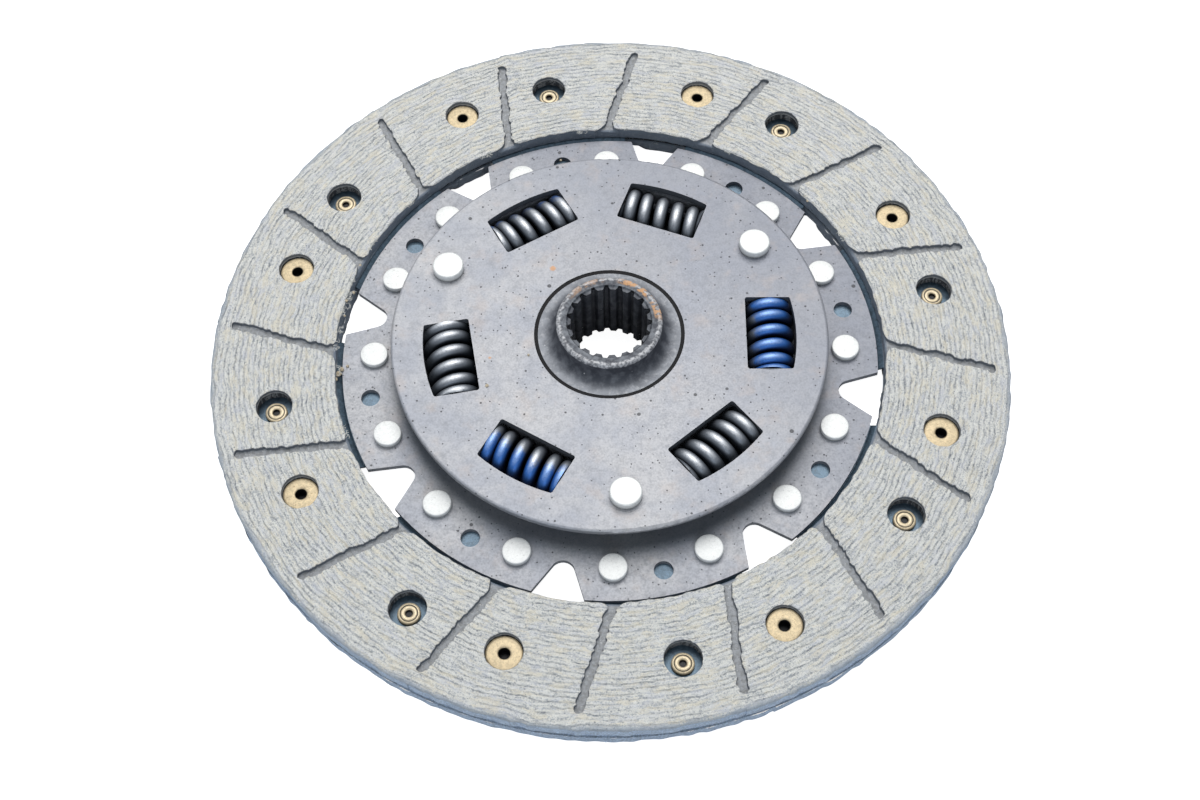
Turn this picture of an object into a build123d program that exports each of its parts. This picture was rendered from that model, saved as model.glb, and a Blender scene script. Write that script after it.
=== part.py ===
from build123d import *
import os
from math import asin, cos, degrees, hypot, pi, radians, sin, sqrt, tan

os.makedirs("parts", exist_ok=True)

# Dry clutch disc with a sprung hub. Millimetres. Z is the shaft axis, and z = 0 is the
# flywheel-side friction face that the disc lies on; the long end of the hub points up.

# ---- Friction facings ----
facing_od = 200.0
facing_id = 138.2
facing_thickness = 3.5
facing_edge_break = 0.4
groove_count = 16
groove_width = 2.0
groove_depth = 1.2
groove_axis_offset = 20.0          # each groove's centre line misses the shaft axis by this much
groove_blind_rim = 3.8             # uncut rim between a groove's end and the outer edge
groove_mouth_radius = 2.4
groove_mouth_angle = 22.4          # polar angle of the first groove where it meets the bore
facing_floor = 0.9                 # facing left under a rivet head
counterbore_diameter = 9.0

# ---- Segments: every ring of eight shares one pitch ----
segment_count = 8
segment_angle = 11.3               # polar angle of the first segment's middle
facing_rivet_up_angle = 16.4       # rivet with its head on the gearbox side, from the middle
facing_rivet_down_angle = -0.6     # rivet with its head on the flywheel side

# ---- Waved cushion plates ----
cushion_thickness = 0.7
cushion_wave = 0.7                 # height of the wave, which lets the facings breathe
cushion_rim_inset = 3.0            # the wings stop this far inside the facings' outer edge
cushion_half_angle = 20.5
cushion_skew_angle = 1.0           # the wings sit this far round from the neck
cushion_neck_half_angle = 15.5
cushion_neck_margin = 3.95         # from its rivets' circle to the neck's inner edge
cushion_corner_radius = 4.0
cushion_bend_gap = 0.15            # the joggle's clearance from the disc plate and the lower facing
cushion_wave_inset = 0.9           # from the facings' bore to where the wave starts to form
cushion_wave_run = 7.0             # from there to where it has its full height
wave_crest_inner_angle = -9.5      # where each crest or trough of the wave starts and ends
wave_trough_start_angle = -5.6
wave_trough_end_angle = 4.4
wave_crest_outer_angle = 9.6

# ---- Disc plate and retaining plate ----
disc_plate_facing_gap = 1.6        # between the disc plate's edge and the facings' bore
disc_plate_thickness = 1.4
disc_plate_top = 5.17
notch_depth = 9.4
notch_corner_radius = 2.9
notch_flank_angle = 27.0
access_hole_inset = 6.45           # from the disc plate's edge to the holes' circle
access_hole_diameter = 4.7
retaining_plate_inset = 13.2       # from the disc plate's edge to the retaining plate's
retaining_plate_thickness = 2.0
retaining_rim_radius = 0.7
plate_gap = 7.75                   # between the two plates, set by the stop pins
cut_overrun = 1.0                  # cutting shapes run this far past the faces they open
edge_match = 0.01                  # an edge sought by its radius or height may differ by this

# ---- Rivets ----
cushion_rivet_inset = 8.05         # from the disc plate's edge to the rivets' circle
cushion_rivet_shank_diameter = 5.0
cushion_rivet_head_diameter = 7.0
cushion_rivet_head_height = 1.7
cushion_rivet_tail_height = 1.4
cushion_rivet_edge_break = 0.35
facing_rivet_shank_diameter = 4.0
facing_rivet_bore_diameter = 2.8
facing_rivet_head_diameter = 7.9
facing_rivet_head_height = 0.6
facing_rivet_curl_diameter = 5.5
facing_rivet_curl_height = 1.1
facing_rivet_curl_round = 0.4
facing_rivet_mouth_break = 0.3

# ---- Stop pins ----
pin_count = 3
pin_angle = 34.2
pin_inset = 9.3                    # from the retaining plate's edge to the pins' circle
pin_barrel_diameter = 7.2
pin_tenon_diameter = 5.4
pin_head_diameter = 7.8
pin_head_height = 2.4
pin_tail_height = 2.2
pin_edge_break = 0.5

# ---- Damper springs and their windows ----
window_offset_angle = 35.0         # each window's middle, either side of a stop pin
spring_inset = 14.5                # from the retaining plate's edge to the coils' axes
spring_od = 13.0
spring_wire_diameter = 3.3
spring_pitch = 4.2                 # from coil to coil
spring_turn_angles = [-114, -32, 131, 199, 161, -58]   # each coil's own turn about its axis
window_length = 20.8
window_inner_gap = 0.68            # between the coil and the window, at the plates' inner faces
window_outer_gap = 0.1
window_corner_radius = 0.6
spring_end_gap = 0.15
spring_side_gap = 0.3              # round the coil where it crosses the flange

# ---- Hub ----
hub_top = 20.5
hub_bottom = 0.3
hub_nose_radius = 13.1
hub_nose_round = 0.8
hub_shoulder_width = 4.65          # from the nose out to the boss that runs in the bushes
hub_boss_step = 0.15               # the boss stops this far below the retaining plate's face
hub_nose_fillet = 3.4
hub_flange_inset = 5.7             # from the retaining plate's edge to the flange's
hub_flange_thickness = 4.8
spline_teeth = 19
spline_major_diameter = 21.0
spline_minor_diameter = 19.0
spline_tip_share = 0.42            # share of the pitch that a tooth's land takes at the bore
spline_root_share = 0.25           # share of the pitch that a groove's floor takes
spline_chamfer = 0.2
spline_angle = 93.2                # polar angle of one groove's middle
stop_travel_angle = 4.5
stop_side_gap = 0.15

# ---- Friction bushes and the disc spring ----
bush_spring_gap = 6.3              # between the bushes' flanges and the coils
lower_bush_flange_thickness = 1.3
upper_bush_flange_thickness = 1.0
bush_collar_wall = 0.85
bush_running_gap = 0.05
bush_plate_gap = 0.05
disc_spring_inner_gap = 0.4
disc_spring_outer_gap = 0.5        # the disc spring's rim sits this far inside the bush's
disc_spring_thickness = 0.4

# ---- Circles and edges that follow from the facings' two diameters ----
facing_outer_radius = facing_od / 2
facing_bore_radius = facing_id / 2
facing_rivet_circle_radius = (facing_outer_radius + facing_bore_radius) / 2
cushion_outer_radius = facing_outer_radius - cushion_rim_inset
cushion_wave_start_x = facing_bore_radius + cushion_wave_inset
cushion_wave_full_x = cushion_wave_start_x + cushion_wave_run
disc_plate_radius = facing_bore_radius - disc_plate_facing_gap
notch_bottom_radius = disc_plate_radius - notch_depth
access_hole_circle_radius = disc_plate_radius - access_hole_inset
cushion_rivet_circle_radius = disc_plate_radius - cushion_rivet_inset
cushion_inner_radius = cushion_rivet_circle_radius - cushion_neck_margin
retaining_plate_radius = disc_plate_radius - retaining_plate_inset
pin_circle_radius = retaining_plate_radius - pin_inset
hub_flange_radius = retaining_plate_radius - hub_flange_inset
spring_circle_radius = retaining_plate_radius - spring_inset
bush_flange_radius = spring_circle_radius - spring_od / 2 - bush_spring_gap
disc_spring_outer_radius = bush_flange_radius - disc_spring_outer_gap

# ---- Bores that follow from the hub ----
hub_boss_radius = hub_nose_radius + hub_shoulder_width
bush_bore_radius = hub_boss_radius + bush_running_gap
plate_bore_radius = bush_bore_radius + bush_collar_wall + bush_plate_gap

# ---- Windows that follow from the coil where it crosses the plates ----
coil_half_width = sqrt((spring_od / 2)**2 - (plate_gap / 2)**2)
window_inner_x = spring_circle_radius - coil_half_width - window_inner_gap
window_outer_x = spring_circle_radius + coil_half_width + window_outer_gap
window_outer_radius = hypot(window_outer_x, window_length / 2)

# ---- Heights that follow from the stack ----
stack_height = 2 * facing_thickness + cushion_thickness + cushion_wave
mid_height = stack_height / 2
disc_plate_bottom = disc_plate_top - disc_plate_thickness
retaining_plate_bottom = disc_plate_top + plate_gap
retaining_plate_top = retaining_plate_bottom + retaining_plate_thickness
flange_bottom = disc_plate_top + lower_bush_flange_thickness
flange_top = flange_bottom + hub_flange_thickness
upper_bush_top = flange_top + upper_bush_flange_thickness
spring_height = (disc_plate_top + retaining_plate_bottom) / 2
pitch = 360 / segment_count
half_gap = (cushion_thickness + cushion_wave) / 2


def polar(radius, angle):
    return (radius * cos(radians(angle)), radius * sin(radians(angle)))


def spots(radius, angles):
    return [Pos(*polar(radius, angle)) for angle in angles]


def ring_angles(first, count):
    return [first + 360 / count * index for index in range(count)]


def tube(outer_r, inner_r, bottom, top):
    return Pos(0, 0, bottom) * extrude(Circle(outer_r) - Circle(inner_r), top - bottom)


def cut_all(body, cutter, places):
    for place in places:
        body = body - place * cutter
    return body


def revolved(points):
    """Solid of revolution about Z from (radius, height) points."""
    outline = Polyline(*[(r, 0, z) for r, z in points], close=True)
    return revolve(make_face(outline), Axis.Z)


def save(node, solids):
    solids = solids if isinstance(solids, list) else [solids]
    for solid in solids:
        solid.label = node
    shape = solids[0] if len(solids) == 1 else Compound(children=solids)
    shape.label = node
    export_step(shape, f"parts/{node}.step")


segment_angles = ring_angles(segment_angle, segment_count)
pin_angles = ring_angles(pin_angle, pin_count)
up_angles = [angle + facing_rivet_up_angle for angle in segment_angles]
down_angles = [angle + facing_rivet_down_angle for angle in segment_angles]
cushion_rivet_angles = ring_angles(segment_angle - pitch / 4, 2 * segment_count)
cushion_rivet_spots = spots(cushion_rivet_circle_radius, cushion_rivet_angles)
up_rivet_spots = spots(facing_rivet_circle_radius, up_angles)
down_rivet_spots = spots(facing_rivet_circle_radius, down_angles)
window_angles = [angle + side * window_offset_angle for angle in pin_angles for side in (-1, 1)]


# ---- Friction facings ----
def groove_sketch():
    """One groove as a slot along X: open past the bore, round at its blind end."""
    end_r = facing_outer_radius - groove_blind_rim
    end_x = sqrt(end_r**2 - groove_axis_offset**2) - groove_width / 2
    start_x = sqrt(facing_bore_radius**2 - groove_axis_offset**2) - groove_mouth_radius - cut_overrun
    slot = Pos((start_x + end_x) / 2, groove_axis_offset) * Rectangle(end_x - start_x, groove_width)
    return slot + Pos(end_x, groove_axis_offset) * Circle(groove_width / 2)


def facing_blank():
    """Facing with its friction face up, at z = 0 to its thickness."""
    mouth_turn = groove_mouth_angle - degrees(asin(groove_axis_offset / facing_bore_radius))
    ring = Circle(facing_outer_radius) - Circle(facing_bore_radius)
    groove = groove_sketch()
    pads = ring
    for angle in ring_angles(mouth_turn, groove_count):
        pads = pads - Rot(0, 0, angle) * groove
    mouths = [v for v in pads.vertices() if hypot(v.X, v.Y) < facing_bore_radius + groove_width]
    pads = fillet(mouths, groove_mouth_radius)
    land = facing_thickness - groove_depth
    body = extrude(ring, land) + Pos(0, 0, land) * extrude(pads, groove_depth)
    circles = body.edges().filter_by(GeomType.CIRCLE)
    rims = [e for e in circles if abs(e.radius - facing_outer_radius) < edge_match]
    rim = [e for e in rims if e.center().Z > facing_thickness - edge_match]
    return chamfer(rim, facing_edge_break)


def facing(head_angles, clear_angles):
    """Facing held by rivets at head_angles and open over the others' curled ends."""
    bore = Circle(counterbore_diameter / 2)
    clear = Pos(0, 0, -cut_overrun) * extrude(bore, facing_thickness + 2 * cut_overrun)
    counterbore = Pos(0, 0, facing_floor) * extrude(bore, facing_thickness)
    shank = Pos(0, 0, -cut_overrun) * extrude(Circle(facing_rivet_shank_diameter / 2), facing_thickness)
    body = cut_all(facing_blank(), clear, spots(facing_rivet_circle_radius, clear_angles))
    body = cut_all(body, counterbore, spots(facing_rivet_circle_radius, head_angles))
    return cut_all(body, shank, spots(facing_rivet_circle_radius, head_angles))


# The lower facing is the same part turned over, and round until each one's rivet heads meet the
# other's open holes.
facing_master = facing(up_angles, down_angles)
turned_over = Rot(0, 0, up_angles[0] + down_angles[0]) * Rot(180, 0, 0) * facing_master
save("upper_facing", Pos(0, 0, mid_height + half_gap) * facing_master)
save("lower_facing", Pos(0, 0, mid_height - half_gap) * turned_over)


# ---- Waved cushion plates ----
def wave_section(x, mid_z, crest):
    """Section across a cushion plate at distance x out: crest, trough, crest."""
    reach = cushion_half_angle * 1.1
    stations = [
        (cushion_skew_angle - reach, crest),
        (wave_crest_inner_angle, crest),
        (wave_trough_start_angle, -crest),
        (wave_trough_end_angle, -crest),
        (wave_crest_outer_angle, crest),
        (cushion_skew_angle + reach, crest),
    ]
    upper = [(x * tan(radians(a)), mid_z + h + cushion_thickness / 2) for a, h in stations]
    lower = [(y, z - cushion_thickness) for y, z in reversed(upper)]
    return make_face(Polyline(*[(x, y, z) for y, z in upper + lower], close=True))


def sector(inner_r, outer_r, start, end):
    """Flat ring sector between two polar angles."""
    far = outer_r * 1.3
    corners = [(0, 0), polar(far, start), polar(far, (start + end) / 2), polar(far, end)]
    wedge = make_face(Polyline(*corners, close=True))
    return (Circle(outer_r) - Circle(inner_r)) & wedge


def cushion_neck():
    """Neck under the disc plate, joggled up into the gap between the facings."""
    half = cushion_thickness / 2
    low = disc_plate_bottom - half
    rise_start = disc_plate_radius + cushion_bend_gap
    rise_end = facing_bore_radius - cushion_bend_gap
    outer_r = cushion_wave_start_x * 1.1
    stations = [(cushion_inner_radius, low), (rise_start, low)]
    stations += [(rise_end, mid_height), (outer_r, mid_height)]
    top = [(r, z + half) for r, z in stations]
    under = [(r, z - half) for r, z in reversed(stations)]
    ring = revolved(top + under)
    outline = sector(cushion_inner_radius, outer_r, -cushion_neck_half_angle, cushion_neck_half_angle)
    reach = Pos(cushion_wave_start_x / 2, 0) * Rectangle(cushion_wave_start_x, 2 * outer_r)
    return ring & extrude(outline & reach, stack_height)


def cushion_leaf():
    """Waved wings between the facings, ruled outward from a flat section at the neck."""
    crest = cushion_wave / 2
    flat = wave_section(cushion_wave_start_x, mid_height, 0)
    full = wave_section(cushion_wave_full_x, mid_height, crest)
    tip = wave_section(cushion_outer_radius * 1.02, mid_height, crest)
    leaf = loft([flat, full], ruled=True) + loft([full, tip], ruled=True)
    start = cushion_skew_angle - cushion_half_angle
    outline = sector(cushion_wave_start_x, cushion_outer_radius, start, start + 2 * cushion_half_angle)
    corners = [v for v in outline.vertices() if hypot(v.X, v.Y) > cushion_wave_full_x]
    corners = [v for v in corners if abs(v.Y) > cushion_outer_radius / 10]
    return leaf & extrude(fillet(corners, cushion_corner_radius), stack_height)


def cushion_plate():
    """One segment, its middle along +X."""
    body = cushion_leaf() + cushion_neck()
    rivet_hole = extrude(Circle(facing_rivet_shank_diameter / 2), stack_height)
    plate_hole = extrude(Circle(cushion_rivet_shank_diameter / 2), stack_height)
    facing_places = spots(facing_rivet_circle_radius, [facing_rivet_up_angle, facing_rivet_down_angle])
    body = cut_all(body, rivet_hole, facing_places)
    return cut_all(body, plate_hole, spots(cushion_rivet_circle_radius, [-pitch / 4, pitch / 4]))


cushion_master = cushion_plate()
for index, angle in enumerate(segment_angles):
    save(f"cushion_plate_{index + 1}", Rot(0, 0, angle) * cushion_master)


# ---- Plates ----
def window_sketch():
    """Spring window, its middle along +X: straight sides, an arc of the plate outside."""
    block_x = (window_inner_x + window_outer_radius) / 2
    block = Pos(block_x, 0) * Rectangle(window_outer_radius - window_inner_x, window_length)
    shape = block & Circle(window_outer_radius)
    return fillet(shape.vertices(), window_corner_radius)


def notch_sketch():
    """Open V notch in the disc plate, with a round bottom, along +X."""
    centre_x = notch_bottom_radius + notch_corner_radius
    reach = disc_plate_radius + cut_overrun
    flank = radians(notch_flank_angle)
    touch = (centre_x - notch_corner_radius * sin(flank), notch_corner_radius * cos(flank))
    mouth_y = touch[1] + (reach - touch[0]) * tan(flank)
    corners = [(touch[0], touch[1]), (reach, mouth_y), (reach, -mouth_y), (touch[0], -touch[1])]
    return make_face(Polyline(*corners, close=True)) + Pos(centre_x, 0) * Circle(notch_corner_radius)


def drilled(body, radius, places):
    return cut_all(body, Pos(0, 0, -hub_top) * extrude(Circle(radius), 2 * hub_top), places)


def disc_plate():
    blank = Circle(disc_plate_radius) - Circle(plate_bore_radius)
    for angle in segment_angles:
        blank = blank - Rot(0, 0, angle + pitch / 2) * notch_sketch()
    for angle in window_angles:
        blank = blank - Rot(0, 0, angle) * window_sketch()
    body = Pos(0, 0, disc_plate_bottom) * extrude(blank, disc_plate_thickness)
    body = drilled(body, access_hole_diameter / 2, spots(access_hole_circle_radius, segment_angles))
    body = drilled(body, cushion_rivet_shank_diameter / 2, cushion_rivet_spots)
    return drilled(body, pin_tenon_diameter / 2, spots(pin_circle_radius, pin_angles))


def retaining_plate():
    blank = Circle(retaining_plate_radius) - Circle(plate_bore_radius)
    body = extrude(blank, retaining_plate_thickness)
    circles = body.edges().filter_by(GeomType.CIRCLE)
    rims = [e for e in circles if e.radius > retaining_plate_radius - edge_match]
    body = fillet(rims, min(retaining_rim_radius, retaining_plate_thickness * 0.45))
    for angle in window_angles:
        body = body - Rot(0, 0, angle) * extrude(window_sketch(), retaining_plate_thickness)
    body = drilled(body, pin_tenon_diameter / 2, spots(pin_circle_radius, pin_angles))
    return Pos(0, 0, retaining_plate_bottom) * body


save("disc_plate", disc_plate())
save("retaining_plate", retaining_plate())


# ---- Hub ----
def spline_sketch():
    """Bore outline of the internal spline: straight-flanked grooves round the minor bore."""
    tooth = 2 * pi / spline_teeth
    minor_r = spline_minor_diameter / 2
    major_r = spline_major_diameter / 2
    mouth = tooth * (1 - spline_tip_share) / 2
    floor = tooth * spline_root_share / 2
    inside = minor_r - cut_overrun
    points = [(inside, -mouth), (minor_r, -mouth), (major_r, -floor)]
    points += [(major_r, floor), (minor_r, mouth), (inside, mouth)]
    groove = make_face(Polyline(*[(r * cos(a), r * sin(a)) for r, a in points], close=True))
    bore = Circle(minor_r)
    for index in range(spline_teeth):
        bore = bore + Rot(0, 0, spline_angle + degrees(tooth) * index) * groove
    return bore


def stop_notch():
    """Slot in the flange's rim for one stop pin, with room for its travel, along +X."""
    clear_r = pin_barrel_diameter / 2 + stop_side_gap
    inner_r = pin_circle_radius - clear_r
    outer_r = hub_flange_radius + cut_overrun
    slot = sector(inner_r, outer_r, -stop_travel_angle, stop_travel_angle)
    for side in (-1, 1):
        round_end = Pos(pin_circle_radius, 0) * Circle(clear_r)
        depth = outer_r - pin_circle_radius
        mouth = Pos(outer_r - depth / 2, 0) * Rectangle(depth, 2 * clear_r)
        slot = slot + Rot(0, 0, side * stop_travel_angle) * (round_end + mouth)
    return slot


def flange_window():
    """Window in the flange: as long as the plates' windows, wide enough for the whole coil."""
    inner_x = spring_circle_radius - spring_od / 2 - spring_side_gap
    outer_x = spring_circle_radius + spring_od / 2 + spring_side_gap
    shape = Pos((inner_x + outer_x) / 2, 0) * Rectangle(outer_x - inner_x, window_length)
    return fillet(shape.vertices(), window_corner_radius)


def hub():
    boss_top = retaining_plate_top - hub_boss_step
    boss_bottom = disc_plate_bottom + hub_boss_step
    inside = spline_minor_diameter / 2 - cut_overrun
    outline = [
        (inside, hub_bottom),
        (hub_nose_radius, hub_bottom),
        (hub_nose_radius, boss_bottom),
        (hub_boss_radius, boss_bottom),
        (hub_boss_radius, boss_top),
        (hub_nose_radius, boss_top),
        (hub_nose_radius, hub_top),
        (inside, hub_top),
    ]
    body = revolved(outline)
    circles = body.edges().filter_by(GeomType.CIRCLE)
    circles = [e for e in circles if abs(e.radius - hub_nose_radius) < edge_match]
    root = [e for e in circles if abs(e.center().Z - boss_top) < edge_match]
    body = fillet(root, hub_nose_fillet)
    circles = body.edges().filter_by(GeomType.CIRCLE)
    circles = [e for e in circles if abs(e.radius - hub_nose_radius) < edge_match]
    rims = [e for e in circles if min(abs(e.center().Z - z) for z in (hub_bottom, hub_top)) < edge_match]
    body = fillet(rims, hub_nose_round)
    flange = Circle(hub_flange_radius)
    for angle in pin_angles:
        flange = flange - Rot(0, 0, angle) * stop_notch()
    for angle in window_angles:
        flange = flange - Rot(0, 0, angle) * flange_window()
    body = body + Pos(0, 0, flange_bottom) * extrude(flange, hub_flange_thickness)
    through = hub_top - hub_bottom + 2 * cut_overrun
    body = body - Pos(0, 0, hub_bottom - cut_overrun) * extrude(spline_sketch(), through)
    tip_r = spline_major_diameter / 2 + spline_chamfer / 2
    throat_r = tip_r - 2 * spline_chamfer
    depth = 2 * spline_chamfer
    top = depth + cut_overrun
    cone = revolved([(0, 0), (throat_r, 0), (tip_r, depth), (tip_r, top), (0, top)])
    body = body - Pos(0, 0, hub_top - depth) * cone
    return body - Pos(0, 0, hub_bottom + depth) * Rot(180, 0, 0) * cone


save("hub", hub())


# ---- Friction bushes and disc spring ----
def bush(bottom, thickness, collar_end):
    """L-shaped ring: a flange against the hub's flange and a collar in the plate's bore."""
    collar_r = bush_bore_radius + bush_collar_wall
    ring = tube(bush_flange_radius, bush_bore_radius, bottom, bottom + thickness)
    low = min(bottom, collar_end)
    high = max(bottom + thickness, collar_end)
    return ring + tube(collar_r, bush_bore_radius, low, high)


def disc_spring():
    """Shallow cone squeezed between the upper bush and the retaining plate."""
    inner_r = plate_bore_radius + disc_spring_inner_gap
    low = upper_bush_top
    high = retaining_plate_bottom
    thick = disc_spring_thickness
    return revolved([
        (inner_r, high - thick),
        (disc_spring_outer_radius, low),
        (disc_spring_outer_radius, low + thick),
        (inner_r, high),
    ])


save("lower_friction_bush", bush(disc_plate_top, lower_bush_flange_thickness, disc_plate_bottom))
upper_collar_end = retaining_plate_top - hub_boss_step
save("upper_friction_bush", bush(flange_top, upper_bush_flange_thickness, upper_collar_end))
save("disc_spring", disc_spring())


# ---- Damper springs ----
def damper_spring():
    """Coil along Y about the origin, ground flat at both ends."""
    mean_r = (spring_od - spring_wire_diameter) / 2
    length = window_length - 2 * spring_end_gap
    path_length = length - spring_wire_diameter * 0.5
    helix = Helix(spring_pitch, path_length, mean_r)
    section = Plane(origin=helix @ 0, z_dir=helix % 0) * Circle(spring_wire_diameter / 2)
    coil = Pos(0, 0, -path_length / 2) * sweep(section, path=helix)
    room = Pos(0, 0, -length / 2) * extrude(Circle(spring_od), length)
    return Rot(90, 0, 0) * (coil & room)


spring_master = damper_spring()
for index, angle in enumerate(window_angles):
    place = Rot(0, 0, angle) * Pos(spring_circle_radius, 0, spring_height)
    save(f"damper_spring_{index + 1}", place * Rot(0, spring_turn_angles[index], 0) * spring_master)


# ---- Stop pins ----
def stop_pin():
    """Spacer between the plates with a riveted tenon through each."""
    head_z = retaining_plate_top + pin_head_height
    tail_z = disc_plate_bottom - pin_tail_height
    head_r = pin_head_diameter / 2
    tenon_r = pin_tenon_diameter / 2
    barrel_r = pin_barrel_diameter / 2
    return revolved([
        (0, tail_z),
        (head_r - pin_edge_break, tail_z),
        (head_r, tail_z + pin_edge_break),
        (head_r, disc_plate_bottom),
        (tenon_r, disc_plate_bottom),
        (tenon_r, disc_plate_top),
        (barrel_r, disc_plate_top),
        (barrel_r, retaining_plate_bottom),
        (tenon_r, retaining_plate_bottom),
        (tenon_r, retaining_plate_top),
        (head_r, retaining_plate_top),
        (head_r, head_z - pin_edge_break),
        (head_r - pin_edge_break, head_z),
        (0, head_z),
    ])


for index, place in enumerate(spots(pin_circle_radius, pin_angles)):
    save(f"stop_pin_{index + 1}", place * stop_pin())


# ---- Rivets ----
def cushion_rivet():
    """Solid rivet through the disc plate and one cushion plate."""
    under = disc_plate_bottom - cushion_thickness
    head_r = cushion_rivet_head_diameter / 2
    shank_r = cushion_rivet_shank_diameter / 2
    edge = cushion_rivet_edge_break
    return revolved([
        (0, under - cushion_rivet_tail_height),
        (head_r - edge, under - cushion_rivet_tail_height),
        (head_r, under - cushion_rivet_tail_height + edge),
        (head_r, under),
        (shank_r, under),
        (shank_r, disc_plate_top),
        (head_r, disc_plate_top),
        (head_r, disc_plate_top + cushion_rivet_head_height - edge),
        (head_r - edge, disc_plate_top + cushion_rivet_head_height),
        (0, disc_plate_top + cushion_rivet_head_height),
    ])


def facing_rivet():
    """Tubular rivet with its head up: z = 0 is the seat of the head on the facing's floor."""
    bore_r = facing_rivet_bore_diameter / 2
    shank_r = facing_rivet_shank_diameter / 2
    head_r = facing_rivet_head_diameter / 2
    curl_r = facing_rivet_curl_diameter / 2
    grip = facing_floor + cushion_thickness
    curl_end = -grip - facing_rivet_curl_height
    curl_round = facing_rivet_curl_round
    mouth = facing_rivet_mouth_break
    return revolved([
        (bore_r, curl_end + curl_round),
        (bore_r + curl_round, curl_end),
        (curl_r - curl_round, curl_end),
        (curl_r, curl_end + curl_round),
        (curl_r, -grip),
        (shank_r, -grip),
        (shank_r, 0),
        (head_r, 0),
        (head_r, facing_rivet_head_height),
        (bore_r + mouth, facing_rivet_head_height),
        (bore_r, facing_rivet_head_height - mouth),
    ])


save("cushion_rivets", [place * cushion_rivet() for place in cushion_rivet_spots])
head_seat = mid_height + half_gap + facing_floor
up_rivet = Pos(0, 0, head_seat) * facing_rivet()
down_rivet = Pos(0, 0, stack_height - head_seat) * Rot(180, 0, 0) * facing_rivet()
save("upper_facing_rivets", [place * up_rivet for place in up_rivet_spots])
save("lower_facing_rivets", [place * down_rivet for place in down_rivet_spots])
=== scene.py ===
import math

import bpy
import numpy as np
from mathutils import Matrix


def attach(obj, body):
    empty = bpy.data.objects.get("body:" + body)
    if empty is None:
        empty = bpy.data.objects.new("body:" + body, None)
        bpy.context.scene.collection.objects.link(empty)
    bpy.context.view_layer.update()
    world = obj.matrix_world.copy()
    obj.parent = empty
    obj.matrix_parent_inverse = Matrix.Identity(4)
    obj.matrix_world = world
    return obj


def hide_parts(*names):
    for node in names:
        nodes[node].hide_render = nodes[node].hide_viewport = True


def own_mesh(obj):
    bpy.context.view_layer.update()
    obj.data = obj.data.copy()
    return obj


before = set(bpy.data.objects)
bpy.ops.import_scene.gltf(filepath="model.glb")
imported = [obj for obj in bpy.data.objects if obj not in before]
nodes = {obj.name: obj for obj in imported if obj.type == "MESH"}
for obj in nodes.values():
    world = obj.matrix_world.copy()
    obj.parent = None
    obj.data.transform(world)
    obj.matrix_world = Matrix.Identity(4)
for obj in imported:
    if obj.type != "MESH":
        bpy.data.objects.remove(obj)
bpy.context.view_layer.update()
mm = 0.001
discBody = "disc"

# Sizes that several pieces share, in millimetres and degrees; heights are above the flywheel face.
shared = {
    "outerR": 100.0, "boreR": 69.1, "facing": 3.5, "stack": 8.4, "rivetCircle": 84.55, "segment": 45,
    "upperRivets": 27.7, "lowerRivets": 10.7, "cushionUnder": 3.07, "discUnder": 3.77, "discTop": 5.17,
    "retainingUnder": 12.92, "retainingTop": 14.92,
}


# One socket of a material's node tree. Sums, products and the rest add Math nodes.
class Value:
    def __init__(self, shader, socket):
        self.shader = shader
        self.socket = socket

    def maths(self, operation, *others):
        return self.shader.maths(operation, self, *others)

    def __add__(self, other):
        return self.maths("ADD", other)

    def __radd__(self, other):
        return self.maths("ADD", other)

    def __sub__(self, other):
        return self.maths("SUBTRACT", other)

    def __rsub__(self, other):
        return self.shader.maths("SUBTRACT", other, self)

    def __mul__(self, other):
        return self.maths("MULTIPLY", other)

    def __truediv__(self, other):
        return self.maths("DIVIDE", other)

    # held between 0 and 1, and eased at both ends
    def clamped(self):
        return self.shader.ramp(self, 0.0, 1.0)


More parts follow.
